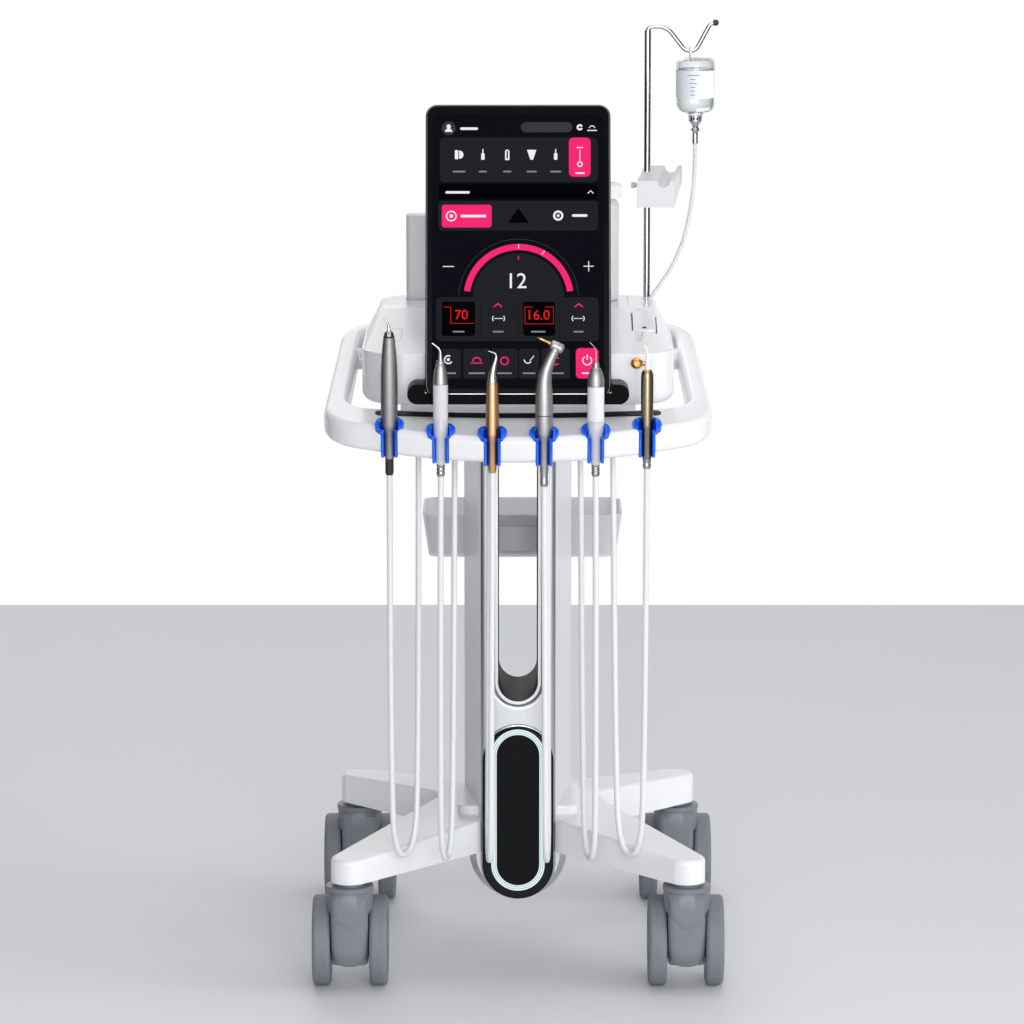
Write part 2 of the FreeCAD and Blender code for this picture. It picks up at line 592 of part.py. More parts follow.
def panel_bezel():
    body = piece("panel_bezel")
    extrude(body, "XZ", [stadium("bezel_half", "bezel_bottom", "bezel_top")],
            BEZEL_FACE, "-column_front + bezel_seat")
    soften(body, "bezel_round", at_level("y", size(BEZEL_FACE)))
    return extrude(body, "XZ", [stadium("halo_half", "halo_bottom", "halo_top")],
                   BEZEL_FACE, f"{BEZEL_FACE} + halo_seat", cut=True)


def halo_inner():
    return stadium("(halo_half - halo_width)", "(halo_bottom + halo_width)", "(halo_top - halo_width)")


def light_ring():
    return extrude(piece("light_ring"), "XZ", [stadium("halo_half", "halo_bottom", "halo_top"), halo_inner()],
                   f"{BEZEL_FACE} - halo_proud", f"{BEZEL_FACE} + halo_seat")


def front_panel():
    return extrude(piece("front_panel"), "XZ", [halo_inner()],
                   f"{BEZEL_FACE} + panel_set_back", f"{BEZEL_FACE} + halo_seat")


def power_supply():
    return block("power_supply", ("-bay_half + supply_margin", "bay_half - supply_margin"),
                 ("-bay_front + supply_margin", "column_back - supply_margin"),
                 ("bay_bottom", "bay_top - supply_margin"))


def rear_sockets():
    """Cover plate of the power bay with mains inlet, switch window, pedal socket and earth stud."""
    body = piece("rear_sockets")
    face = "(column_back + sockets_plate)"
    plate = rectangle("-bay_half - sockets_rim", "bay_bottom - sockets_rim",
                      "bay_half + sockets_rim", "bay_top + sockets_rim / 2")
    window = rectangle("-switch_half_x", "switch_z - switch_half_z", "switch_half_x",
                       "switch_z + switch_half_z")
    extrude(body, "XZ", [plate, window], "column_back", face)
    inlet = rectangle("-inlet_half_x", "inlet_z - inlet_half_z", "inlet_half_x", "inlet_z + inlet_half_z")
    extrude(body, "XZ", [inlet], face, f"{face} + inlet_depth")
    recess = rectangle("-inlet_half_x + inlet_wall", "inlet_z - inlet_half_z + inlet_wall",
                       "inlet_half_x - inlet_wall", "inlet_z + inlet_half_z - inlet_wall")
    extrude(body, "XZ", [recess], face, f"{face} + inlet_depth", cut=True)
    pins = [rectangle(f"{step} * inlet_pin_pitch - inlet_pin_half_x", "inlet_z - inlet_pin_half_z",
                      f"{step} * inlet_pin_pitch + inlet_pin_half_x", "inlet_z + inlet_pin_half_z")
            for step in (-1, 0, 1)]
    extrude(body, "XZ", pins, face, f"{face} + inlet_pin_length")
    extrude(body, "XZ", [("circle", "-jack_x", "jack_z", "jack_radius"),
                         ("circle", "-jack_x", "jack_z", "jack_bore")], face, f"{face} + jack_depth")
    for radius, length in (("earth_collar", "earth_collar_depth"), ("earth_radius", "earth_length")):
        extrude(body, "XZ", [("circle", "jack_x", "jack_z", radius)], face, f"{face} + {length}")
    pivot = ("circle", "column_back + sockets_plate / 2", "switch_z", "rocker_pin_radius + running_clearance")
    reach = "switch_half_x + rocker_pin_length + running_clearance"
    return extrude(body, "YZ", [pivot], f"-({reach})", reach, cut=True)


def power_switch():
    """Rocker on two stub pins in the window of the socket panel."""
    body = piece("power_switch")
    high = "(switch_half_z - rocker_gap_z)"
    front = "(sockets_plate / 2 + rocker_proud)"
    profile = [("-sockets_plate / 2", f"-{high}"), (front, f"-{high}"), (f"{front} - rocker_dip", "0"),
               (f"{front} + rocker_dip", high), ("-sockets_plate / 2", high)]
    extrude(body, "YZ", [profile], "-switch_half_x + rocker_gap_x", "switch_half_x - rocker_gap_x")
    reach = "switch_half_x + rocker_pin_length"
    extrude(body, "YZ", [("circle", "0", "0", "rocker_pin_radius")], f"-({reach})", reach)
    return place(body, "0", "column_back + sockets_plate / 2", "switch_z")


def storage_bin():
    body = piece("storage_bin")
    back = "(bin_front + bin_depth)"

    def section(inset, corner):
        return rounded(f"bin_x - bin_half + {inset}", f"bin_front + {inset}", f"bin_x + bin_half - {inset}",
                       f"{back} - {inset}", corner, corner)

    bottom = "(bin_top - bin_height)"
    loft(body, "XY", [(bottom, section("bin_taper", "bin_corner")), ("bin_top", section("0", "bin_corner"))])
    loft(body, "XY", [(f"{bottom} + bin_wall", section("(bin_taper + bin_wall)", "bin_corner")),
                      ("bin_top", section("bin_wall", "bin_corner"))], cut=True)
    flange = rectangle("bin_x - bin_flange_half", "column_back + rail_gap", "bin_x + bin_flange_half",
                       "bin_front + bin_wall / 2 + bin_taper * rail_drop / bin_height")
    return extrude(body, "XY", [flange], RAIL_TOP, f"{RAIL_TOP} + bin_flange")


# Console ring, clips and deck strip

def bow(x):
    return f"(bow_radius - sqrt(bow_radius ^ 2 - ({x}) ^ 2))"


def clip_y(tool):
    return f"(clip_set_back - ring_front + {bow(tool + '_x')} * cos(ring_tilt))"


def deck_z(y):
    """Height of the ring's top face at y."""
    return f"(ring_z + ({y} + ring_front) * tan(ring_tilt) + ring_thickness / 2 / cos(ring_tilt))"


BOSS_Z = "(ring_z + (boss_y + ring_front) * tan(ring_tilt))"


def strip_outline():
    inner = "strip_bow_radius - strip_width"
    return [("-strip_half", "strip_w", "strip_bow_radius"), ("strip_half", "strip_w"),
            ("strip_half", "strip_w + strip_width", f"-({inner})"), ("-strip_half", "strip_w + strip_width")]


def cup_room(tool):
    """Room in the deck for the cup of a clip and the cone under it."""
    wide = "cup_radius + cup_clearance"
    foot = "-cup_foot - cup_clearance"
    profile = [("0", foot), ("clip_radius + cup_clearance", foot), (wide, "-cup_low - cup_clearance"),
               (wide, "ring_thickness"), ("0", "ring_thickness")]
    y = clip_y(tool)
    return turn(piece(f"cup_room_{tool}"), profile, f"{tool}_x", y, deck_z(y))


def console_ring():
    body = piece("ring_body")
    front = bow("bow_half")
    outer = [("-bow_half", front, "bow_radius"), ("bow_half", front), ("ring_shoulder_x", "ring_shoulder_w"),
             ("ring_rear_x", "ring_rear_w"), ("-ring_rear_x", "ring_rear_w"),
             ("-ring_shoulder_x", "ring_shoulder_w")]
    inner = [("-grip_front_x", "grip_front_w", "grip_bow_radius"), ("grip_front_x", "grip_front_w"),
             ("grip_rear_x", "grip_rear_w"), ("-grip_rear_x", "grip_rear_w")]
    extrude(body, "XY", [outer, inner], "-ring_thickness / 2", "ring_thickness / 2")

    def upright(x, w):
        return lambda edge: (along(UP)(edge) and abs(abs(edge.CenterOfMass.x) - size(x)) < TOLERANCE
                             and abs(edge.CenterOfMass.y - size(w)) < TOLERANCE)

    soften(body, "ring_front_round", upright("ring_shoulder_x", "ring_shoulder_w"))
    soften(body, "ring_rear_round", upright("ring_rear_x", "ring_rear_w"))
    soften(body, "grip_round", lambda edge: upright("grip_front_x", "grip_front_w")(edge)
           or upright("grip_rear_x", "grip_rear_w")(edge))
    top = size("ring_thickness / 2")
    soften(body, "ring_edge_round", lambda edge: at_level("z", top)(edge) or at_level("z", -top)(edge))
    extrude(body, "XY", [strip_outline()], "ring_thickness / 2 - strip_seat", "ring_thickness / 2", cut=True)
    tilt(body, "0", "-ring_front", "ring_z", "ring_tilt")
    tools = [rod("boss_socket", X_AXIS, "-boss_half", "boss_y", BOSS_Z, "boss_radius", "2 * boss_half")]
    for tool in TOOLS:
        y = clip_y(tool)
        tools.append(block(f"notch_{tool}", (f"{tool}_x - clip_radius", f"{tool}_x + clip_radius"),
                           (f"{y} - 4 * clip_set_back", f"{y} + notch_depth"),
                           (f"{deck_z(y)} - 2 * ring_thickness", f"{deck_z(y)} + ring_thickness")))
        tools.append(cup_room(tool))
    return cut("console_ring", body, tools)


def deck_strip():
    body = piece("deck_strip")
    extrude(body, "XY", [strip_outline()], "ring_thickness / 2 - strip_seat",
            "ring_thickness / 2 + strip_proud")
    return tilt(body, "0", "-ring_front", "ring_z", "ring_tilt")


def handpiece_clip(tool):
    """Spring clip: a slit tube with a cup on top, and a back block against the notch."""
    body = piece(f"clip_{tool}")
    profile = [("clip_bore", "-clip_low"), ("clip_radius", "-clip_low"), ("clip_radius", "-cup_foot"),
               ("cup_radius", "-cup_low"), ("cup_radius", "cup_high"), ("cup_mouth + cup_lip", "cup_top"),
               ("cup_mouth", "cup_top"), ("cup_inner", "cup_high"), ("cup_inner", "-seat_high"),
               ("seat_radius", "-seat_high"), ("clip_bore", "-seat_low")]
    turn(body, profile, "0", "0", "0")
    behind = rectangle("-clip_back_half", "clip_bore + cup_lip", "clip_back_half", "notch_depth")
    extrude(body, "XY", [behind], "-clip_low", "-cup_foot")
    slit = rectangle("-clip_slit", "-2 * cup_radius", "clip_slit", "0")
    extrude(body, "XY", [slit], "-clip_low", "cup_top", cut=True)
    mouth = rectangle("-clip_mouth_half", "-2 * cup_radius", "clip_mouth_half", "-clip_slit")
    extrude(body, "XY", [mouth], "-cup_low", "cup_top", cut=True)
    y = clip_y(tool)
    return place(body, f"{tool}_x", y, deck_z(y))


# Handpieces and hoses

def grip(tool):
    """Turned handpiece body: hose plug, neck in the clip, seat cone, body and nose."""
    y = clip_y(tool)
    body_radius = f"{tool}_body_radius"
    seat_slope = "(seat_low - seat_high) / (seat_radius - clip_bore)"
    neck_top = f"seat_gap - seat_low - (clip_bore - grip_neck) * {seat_slope}"
    profile = [("0", f"{tool}_plug_low"), ("plug_radius * boot_taper", f"{tool}_plug_low"),
               ("plug_radius", f"{tool}_plug_low + plug_step"), ("plug_radius", "-neck_low"),
               ("grip_neck", "-neck_low + plug_step"), ("grip_neck", neck_top),
               ("seat_radius", "seat_gap - seat_high"),
               (body_radius, "body_start"), (body_radius, f"{tool}_body_top"),
               (f"{tool}_nose_radius", f"{tool}_nose_top"), ("0", f"{tool}_nose_top")]
    if size(body_radius) < size("seat_radius"):
        profile[6] = (body_radius, f"seat_gap - seat_high - (seat_radius - {body_radius}) * {seat_slope}")
    return turn(piece(f"grip_{tool}"), profile, f"{tool}_x", y, deck_z(y))


def nose_point(tool):
    y = clip_y(tool)
    return Vector(size(f"{tool}_x"), size(y), size(f"{deck_z(y)} + {tool}_nose_top"))


def tip(tool):
    """Working end on the nose of a handpiece: a collar and a bent rod."""
    radius, path = TIP_PATHS[tool]
    nose = nose_point(tool)
    points = [nose + Vector(*point) for point in path]
    collar = Part.makeCone(size(f"{tool}_nose_radius"), radius, size("tip_collar"), nose, UP)
    shape = collar.fuse(bent_rod(points, radius))
    if tool == "contra":
        shape = shape.fuse(contra_head(points[-1]))
    return solid(f"tip_{tool}", shape.removeSplitter())


def contra_head(point):
    """Angled head of the contra-angle handpiece with its bur, across the knuckle on top of the neck."""
    rise = math.radians(size("head_rise"))
    way = Vector(-math.cos(rise), 0, math.sin(rise))
    back = point - way * size("head_behind")
    head = Part.makeCylinder(size("head_radius"), size("head_length"), back, way)
    bur_start = back + way * size("head_length - bur_engage")
    bur = Part.makeCylinder(size("bur_radius"), size("bur_length"), bur_start, way)
    return head.fuse([bur, Part.makeSphere(size("knuckle_radius"), point)])


def handpiece_hose(tool):
    y = clip_y(tool)
    start = Vector(size(f"{tool}_x"), size(y), size(f"{deck_z(y)} + {tool}_plug_low - hose_gap"))
    end = Vector(size(f"{tool}_return_x"), size("gland_y"), size("column_top - gland_drop"))
    return hose(f"hose_{tool}", [start, *LOOPS[tool], end], size("hose_radius"))


# Pan, housing and hood

def console_underpan():
    body = piece("console_underpan")
    outline = rounded("-pan_half", "-pan_front", "pan_half", "pan_back", "pan_corner", "pan_corner")
    extrude(body, "XY", [outline], "column_top", "housing_bottom")
    glands = [("circle", f"{tool}_return_x", "gland_y", "gland_radius") for tool in TOOLS]
    extrude(body, "XY", glands, "column_top - gland_drop", "column_top")
    return body


def plan(half, front, back, front_corner, back_corner):
    return rounded(f"-({half})", f"-({front})", half, back, front_corner, back_corner)


def housing_lower():
    body = piece("housing_lower")
    extrude(body, "XY", [plan("housing_half", "housing_front", "housing_back", "housing_front_corner",
                              "housing_back_corner")], "housing_bottom", "seam_z")
    soften(body, "housing_round", at_level("z", size("housing_bottom")))
    inner = plan("housing_half - housing_wall", "housing_front - housing_wall", "housing_back - housing_wall",
                 "(housing_front_corner - housing_wall)", "(housing_back_corner - housing_wall)")
    extrude(body, "XY", [inner], "housing_bottom + 2 * housing_wall", "seam_z", cut=True)
    boss = ("circle", "boss_y", BOSS_Z, "boss_radius")
    extrude(body, "YZ", [boss], "boss_root", "boss_half")
    extrude(body, "YZ", [boss], "-boss_half", "-boss_root")
    shaft = ("circle", "valve_x", "valve_z", "valve_shaft + running_clearance")
    return extrude(body, "XZ", [shaft], "-housing_front", "-housing_front + 2 * housing_wall", cut=True)


def slope_z(y):
    """Height of the hood's sloping front at y."""
    run = "(housing_front - hood_inset - hood_top_front)"
    return f"(seam_z + ({y} + housing_front - hood_inset) * (hood_top - seam_z) / {run})"


SLOPE_ANGLE = "atan((hood_top - seam_z) / (housing_front - hood_inset - hood_top_front))"


def hood_section(angle):
    """Level and outline of the hood where its round top edge has turned by an angle."""
    level = f"hood_top - hood_round * (1 - sin({angle}))"
    inset = f"hood_round * (1 - cos({angle}))"
    run = "(housing_front - hood_inset - hood_top_front)"
    front = f"hood_top_front + (hood_top - ({level})) * {run} / (hood_top - seam_z)"
    corner = f"(hood_top_corner - {inset})"
    return level, plan(f"hood_top_half - {inset}", front, f"hood_top_back - {inset}", corner, corner)


def housing_hood():
    body = piece("hood_body")
    low = ("housing_half - hood_inset", "housing_front - hood_inset", "housing_back - hood_inset")
    foot = ("seam_z", plan(*low, "housing_front_corner", "housing_back_corner"))
    loft(body, "XY", [foot, *[hood_section(angle) for angle in (0, 30, 60, 90)]])
    ceiling = plan("hood_top_half - 3 * hood_wall", "hood_top_front - hood_wall",
                   "hood_top_back - 3 * hood_wall", "(hood_top_corner - 3 * hood_wall)",
                   "(hood_top_corner - 3 * hood_wall)")
    inside = [f"{value} - hood_wall" for value in low]
    loft(body, "XY", [("seam_z", plan(*inside, "(housing_front_corner - hood_wall)",
                                      "(housing_back_corner - hood_wall)")),
                      ("hood_top - hood_wall", ceiling)], cut=True)
    extrude(body, "XY", [("circle", "pole_x", "pole_y", "pole_radius")], "seam_z", "hood_top", cut=True)
    extrude(body, "XY", [("circle", "drip_inlet_x", "drip_inlet_y", "drip_radius")],
            "hood_top - 2 * hood_wall", "hood_top", cut=True)
    window = piece("door_window")
    extrude(window, "XY", [rectangle("-door_half - door_gap", "-door_length - door_gap",
                                     "door_half + door_gap", "door_hinge_room")],
            "-4 * door_thickness", "4 * door_thickness")
    extrude(window, "YZ", [("circle", "-door_pin_inset", "door_proud - door_thickness / 2",
                            "door_pin_radius + running_clearance")],
            "-door_half - door_gap - door_pin_length", "door_half + door_gap + door_pin_length")
    tilt(window, "door_x", "door_hinge_y", slope_z("door_hinge_y"), SLOPE_ANGLE)
    return cut("housing_hood", body, [window])


def pump_door():
    body = piece("pump_door")
    extrude(body, "XY", [rectangle("-door_half", "-door_length", "door_half", "0")],
            "door_proud - door_thickness", "door_proud")
    extrude(body, "YZ", [("circle", "-door_pin_inset", "door_proud - door_thickness / 2", "door_pin_radius")],
            "-door_half - door_pin_length", "door_half + door_pin_length")
    return tilt(body, "door_x", "door_hinge_y", slope_z("door_hinge_y"), SLOPE_ANGLE)


def pump_motor():
    body = piece("pump_motor")
    extrude(body, "XY", [rectangle("-pump_half_x", "-pump_half_y", "pump_half_x", "pump_half_y")],
            "housing_bottom + 2 * housing_wall", "pump_top")
    extrude(body, "XY", [("circle", "0", "0", "spindle_radius")], "pump_top",
            "pump_top + rotor_gap + rotor_height")
    return place(body, "door_x", "pump_y")


def pump_rotor():
    """Three-lobed roller head of the peristaltic pump."""
    body = piece("pump_rotor")
    extrude(body, "XY", [("circle", "0", "0", "rotor_radius"),
                         ("circle", "0", "0", "spindle_radius + running_clearance")], "0", "rotor_height")
    lobes = [("circle", f"rotor_radius * cos({angle})", f"rotor_radius * sin({angle})", "roller_notch")
             for angle in (90, 210, 330)]
    extrude(body, "XY", lobes, "rotor_height / 4", "rotor_height", cut=True)
    return place(body, "door_x", "pump_y", "pump_top + rotor_gap")


def flow_valve():
    body = piece("flow_valve")
    extrude(body, "XZ", [("circle", "0", "0", "valve_radius")], "-valve_depth - valve_gap", "-valve_gap")
    extrude(body, "XZ", [("circle", "0", "0", "valve_shaft")], "-valve_gap", "valve_shaft_length")
    lever = rounded("0", "-lever_half", "lever_length", "lever_half", "lever_half / 2", "lever_half / 2")
    extrude(body, "XZ", [lever], "-valve_depth - valve_gap", "-valve_depth / 2")
    return place(body, "valve_x", "-housing_front", "valve_z")


# Screen

def screen_case():
    body = piece("screen_case")
    foot = "-screen_foot"
    head = "(screen_length - screen_foot)"
    outline = rounded("-screen_half", foot, "screen_half", head, "screen_corner", "screen_corner")
    extrude(body, "XZ", [outline], "-screen_thickness / 2", "screen_thickness / 2")
    soften(body, "case_round", lambda edge: at_level("y", size("screen_thickness / 2"))(edge)
           or at_level("y", size("-screen_thickness / 2"))(edge))
    extrude(body, "XZ", [glass_outline("0")], "-screen_thickness / 2", "-screen_thickness / 2 + glass_depth",
            cut=True)
    extrude(body, "YZ", [("circle", "0", "0", "hinge_pin_radius + running_clearance")],
            "-screen_half", "-screen_half + hinge_pin_engage + cheek_gap", cut=True)
    extrude(body, "YZ", [("circle", "0", "0", "hinge_pin_radius + running_clearance")],
            "screen_half - hinge_pin_engage - cheek_gap", "screen_half", cut=True)
    return tilt(body, "0", "hinge_y", "hinge_z", "-screen_lean")


def glass_outline(gap):
    margin = f"(glass_margin + {gap})"
    corner = "(screen_corner - glass_margin)"
    return rounded(f"-screen_half + {margin}", f"-screen_foot + {margin}", f"screen_half - {margin}",
                   f"screen_length - screen_foot - {margin}", corner, corner)


def screen_glass():
    body = piece("screen_glass")
    extrude(body, "XZ", [glass_outline("glass_gap")], "-screen_thickness / 2",
            "-screen_thickness / 2 + glass_depth")
    return tilt(body, "0", "hinge_y", "hinge_z", "-screen_lean")


CHEEK = "(screen_half + cheek_gap)"


def screen_cradle():
    """Oblong black trough on the housing front that carries the foot of the screen."""
    body = piece("screen_cradle")
    top = "(cradle_bottom + cradle_height)"
    half_high = "cradle_height / 2"
    oblong = [("-cradle_half + cradle_height / 2", "cradle_bottom"),
              ("cradle_half - cradle_height / 2", "cradle_bottom", half_high),
              ("cradle_half", f"cradle_bottom + {half_high}", half_high),
              ("cradle_half - cradle_height / 2", top), ("-cradle_half + cradle_height / 2", top, half_high),
              ("-cradle_half", f"cradle_bottom + {half_high}", half_high)]
    extrude(body, "XZ", [oblong], "-cradle_front", "-housing_front")
    trough = rectangle(f"-{CHEEK}", "cradle_bottom + cradle_floor", CHEEK, top)
    extrude(body, "XZ", [trough], "-cradle_front + cradle_lip", "-housing_front", cut=True)
    gap = rectangle(f"-{CHEEK}", "cradle_bottom + cradle_lip_height", CHEEK, top)
    extrude(body, "XZ", [gap], "-cradle_front", "-cradle_front + cradle_lip", cut=True)
    pins = ("circle", "hinge_y", "hinge_z", "hinge_pin_radius")
    return extrude(body, "YZ", [pins], "-cradle_half", "cradle_half", cut=True)


def screen_hinge():
    pins = [rod(f"hinge_pin_{name}", X_AXIS, start, "hinge_y", "hinge_z", "hinge_pin_radius",
                "cradle_half - screen_half + hinge_pin_engage - cradle_height / 4")
            for name, start in (("left", "-cradle_half + cradle_height / 4"),
                                ("right", "screen_half - hinge_pin_engage"))]
    return group("screen_hinge", pins)


# Pole, bracket and drip bottle

# Heights on the pole, all from its length: the bracket and the bottle hang below the arm
POLE_FLOOR = "(housing_bottom + 2 * housing_wall)"
POLE_TOP = f"({POLE_FLOOR} + pole_length)"
ARM_Z = f"({POLE_TOP} + arm_rise)"
ARM_TIP_Z = f"({ARM_Z} + arm_tip_rise)"
HOOK_Z = f"({ARM_Z} - hook_drop)"
BRACKET_LOW = f"({ARM_Z} - bracket_drop)"
BRACKET_TOP = f"({BRACKET_LOW} + bracket_height)"
WING_TOP = f"({BRACKET_TOP} + wing_rise)"
BOTTLE_TOP = f"({HOOK_Z} - bottle_drop)"
BOTTLE_LOW = f"({BOTTLE_TOP} - bottle_height)"
CONNECTOR_LOW = f"({BOTTLE_LOW} - connector_length)"


def drip_pole():
    x, y, radius = size("pole_x"), size("pole_y"), size("arm_radius")
    pole = Part.makeCylinder(size("pole_radius"), size("pole_length"), Vector(x, y, size(POLE_FLOOR)), UP)
    ends = [("pole_x", f"{POLE_TOP} - arm_root"), ("pole_x", ARM_Z), ("arm_knee_x", ARM_Z),
            ("hook_x - hook_half", HOOK_Z), ("hook_x + hook_half", HOOK_Z), ("arm_tip_x", ARM_TIP_Z),
            ("arm_end_x", f"{ARM_TIP_Z} + arm_end_rise")]
    points = [Vector(size(across), y, size(height)) for across, height in ends]
    ball = Part.makeSphere(size("arm_ball"), points[-1])
    return solid("drip_pole", pole.fuse([bent_rod(points, radius), ball]).removeSplitter())


def pole_bracket():
    """Holder that slides on the pole: a clamp block, a notched front plate, a raised wing and a screw."""
    body = piece("pole_bracket")
    top = BRACKET_TOP
    front = "(pole_y - bracket_front)"
    clamp = rectangle("pole_x - bracket_half", front, "pole_x + bracket_half", "pole_y + bracket_back")
    extrude(body, "XY", [clamp], BRACKET_LOW, WING_TOP)
    notch_x = "(pole_x + bracket_half + plate_notch / 2)"
    plate = [("plate_left", BRACKET_LOW), ("plate_right", BRACKET_LOW), ("plate_right", top),
             (f"{notch_x} + plate_notch / 2", top), (notch_x, f"{top} - plate_notch_depth"),
             (f"{notch_x} - plate_notch / 2", top), ("plate_left", top)]
    extrude(body, "XZ", [plate], f"{front} - plate_thickness", front)
    wing = [("pole_x", f"{top} - wing_thickness"), ("plate_right", f"{top} - wing_thickness"),
            ("wing_right", f"{WING_TOP} - wing_thickness"), ("wing_right", WING_TOP),
            ("plate_right - wing_thickness", top), ("pole_x", top)]
    extrude(body, "XZ", [wing], front, "pole_y + bracket_back")
    screw = ("circle", "pole_y", f"{top} - 2 * bracket_screw_radius", "bracket_screw_radius")
    extrude(body, "YZ", [screw], "pole_x - bracket_half - bracket_screw_length", "pole_x - bracket_half")
    return extrude(body, "XY", [("circle", "pole_x", "pole_y", "pole_radius + running_clearance")],
                   BRACKET_LOW, WING_TOP, cut=True)


def drip_bottle():
    """Bottle hung neck down, with a moulded hanger ring round the hook of the arm."""
    body = piece("drip_bottle")
    profile = [("0", "0"), ("bottle_neck", "0"), ("bottle_neck", "neck_height"),
               ("bottle_radius", "neck_height + shoulder_height"),
               ("bottle_radius", "bottle_height - crown_height"), ("bottle_crown", "bottle_height"),
               ("0", "bottle_height")]
    turn(body, profile, "bottle_x", "pole_y", BOTTLE_LOW)
    ring_z = f"({HOOK_Z} + arm_radius + hanger_gap - hanger_bore)"
    tab = rectangle("pole_y - hanger_bore", f"{BOTTLE_TOP} - crown_height", "pole_y + hanger_bore", ring_z)
    ring = ("circle", "pole_y", ring_z, "hanger_bore + hanger_rim")
    left, right = "hook_x - hanger_width / 2", "hook_x + hanger_width / 2"
    extrude(body, "YZ", [tab], left, right)
    extrude(body, "YZ", [ring], left, right)
    return extrude(body, "YZ", [("circle", "pole_y", ring_z, "hanger_bore")], left, right, cut=True)


def drip_connector():
    body = piece("drip_connector")
    cap = f"{BOTTLE_LOW} - connector_cap"
    nut_low = f"{CONNECTOR_LOW} + connector_nut_low"
    nut_top = f"{nut_low} + connector_nut_height"
    profile = [("0", CONNECTOR_LOW), ("connector_waist", CONNECTOR_LOW), ("connector_waist", nut_low),
               ("connector_nut", nut_low), ("connector_nut", nut_top), ("connector_waist", nut_top),
               ("connector_waist", cap), ("connector_radius", cap), ("connector_radius", BOTTLE_LOW),
               ("0", BOTTLE_LOW)]
    return turn(body, profile, "bottle_x", "pole_y", "0")


def drip_tube():
    start = Vector(size("bottle_x"), size("pole_y"), size(f"{CONNECTOR_LOW} - hose_gap"))
    end = Vector(size("drip_inlet_x"), size("drip_inlet_y"), size("hood_top - hood_wall"))
    return hose("drip_tube", [start, *DRIP_ROUTE, end], size("drip_radius"))


def rear_tank():
    body = piece("rear_tank")
    extrude(body, "XY", [rounded("-tank_left", "tank_front", "-tank_right", "tank_back", "tank_round",
                                 "tank_round")], "hood_top", "hood_top + tank_height")
    return soften(body, "tank_round / 2", at_level("z", size("hood_top + tank_height")))


def rear_bottle():
    shoulder = "jar_height - jar_shoulder"
    cap_top = "jar_height + jar_cap_height"
    profile = [("0", "0"), ("jar_radius - jar_foot_round", "0", "jar_foot_round"),
               ("jar_radius", "jar_foot_round"), ("jar_radius", shoulder), ("jar_neck", "jar_height"),
               ("jar_cap_radius", "jar_height"),
               ("jar_cap_radius", f"{cap_top} - jar_cap_round", "jar_cap_round"),
               ("jar_cap_radius - jar_cap_round", cap_top), ("0", cap_top)]
    return turn(piece("rear_bottle"), profile, "jar_x", "jar_y", "hood_top")


def build():
    nodes = [base_frame(column_hulls()), column_core(), column_front(), slot_liner(), panel_bezel(),
             light_ring(), front_panel(), power_supply(), rear_sockets(), power_switch(), storage_bin(),
             caster_stems()]
    for corner in CORNERS:
        nodes += [caster_yoke(corner), caster_wheels(corner)]
    clips = group("handpiece_clips", [handpiece_clip(tool) for tool in TOOLS])
    nodes += [console_ring(), deck_strip(), clips]
    for tool in TOOLS:
        nodes += [grip(tool), tip(tool), handpiece_hose(tool)]
    nodes += [console_underpan(), housing_lower(), housing_hood(), pump_door(), pump_motor(), pump_rotor(),
              flow_valve(), screen_case(), screen_glass(), screen_cradle(), screen_hinge(), drip_pole(),
              pole_bracket(), drip_bottle(), drip_connector(), drip_tube(), rear_tank(), rear_bottle()]
    return nodes


def write(nodes):
    """Check every object and every shape, then write one file for each sub-part."""
    failed = [item.Name for item in doc.Objects if {"Invalid", "Error"} & set(item.State)]
    if failed:
        raise RuntimeError(f"failed objects: {failed}")
    for node in nodes:
        if node.Shape.isNull() or not node.Shape.isValid():
            raise RuntimeError(f"{node.Label} has no valid shape")
    os.makedirs("parts", exist_ok=True)
    for node in nodes:
        node.Shape.exportStep(f"parts/{node.Label}.step")


all_nodes = build()
doc.recompute()
write(all_nodes)
box = FreeCAD.BoundBox()
for part in all_nodes:
    box.add(part.Shape.optimalBoundingBox(False))
print(f"{len(all_nodes)} sub-parts, {box.XLength:.1f} by {box.YLength:.1f} by {box.ZLength:.1f} mm")
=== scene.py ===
"""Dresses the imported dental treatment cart: finishes, handpieces, hoses, display, drip stand and stage."""

import math

import bmesh
import bpy
from mathutils import Matrix, Vector


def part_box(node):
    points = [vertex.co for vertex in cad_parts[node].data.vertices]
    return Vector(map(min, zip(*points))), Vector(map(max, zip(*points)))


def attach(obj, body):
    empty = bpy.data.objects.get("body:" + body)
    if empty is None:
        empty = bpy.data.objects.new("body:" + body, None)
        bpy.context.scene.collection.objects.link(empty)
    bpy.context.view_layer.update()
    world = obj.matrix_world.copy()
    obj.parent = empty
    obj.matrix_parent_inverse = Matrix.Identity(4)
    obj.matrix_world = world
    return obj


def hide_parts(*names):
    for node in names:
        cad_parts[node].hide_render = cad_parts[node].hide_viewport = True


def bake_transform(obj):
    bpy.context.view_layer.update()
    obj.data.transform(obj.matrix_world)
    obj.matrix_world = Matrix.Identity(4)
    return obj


bl_info = {
    "name": "Dental treatment cart",
    "version": (1, 0, 0),
    "blender": (4, 5, 0),
    "location": "3D View > Sidebar > Cart",
    "description": "Finishes, handpieces, hoses, display and drip stand around the packed cart",
    "category": "Object",
}

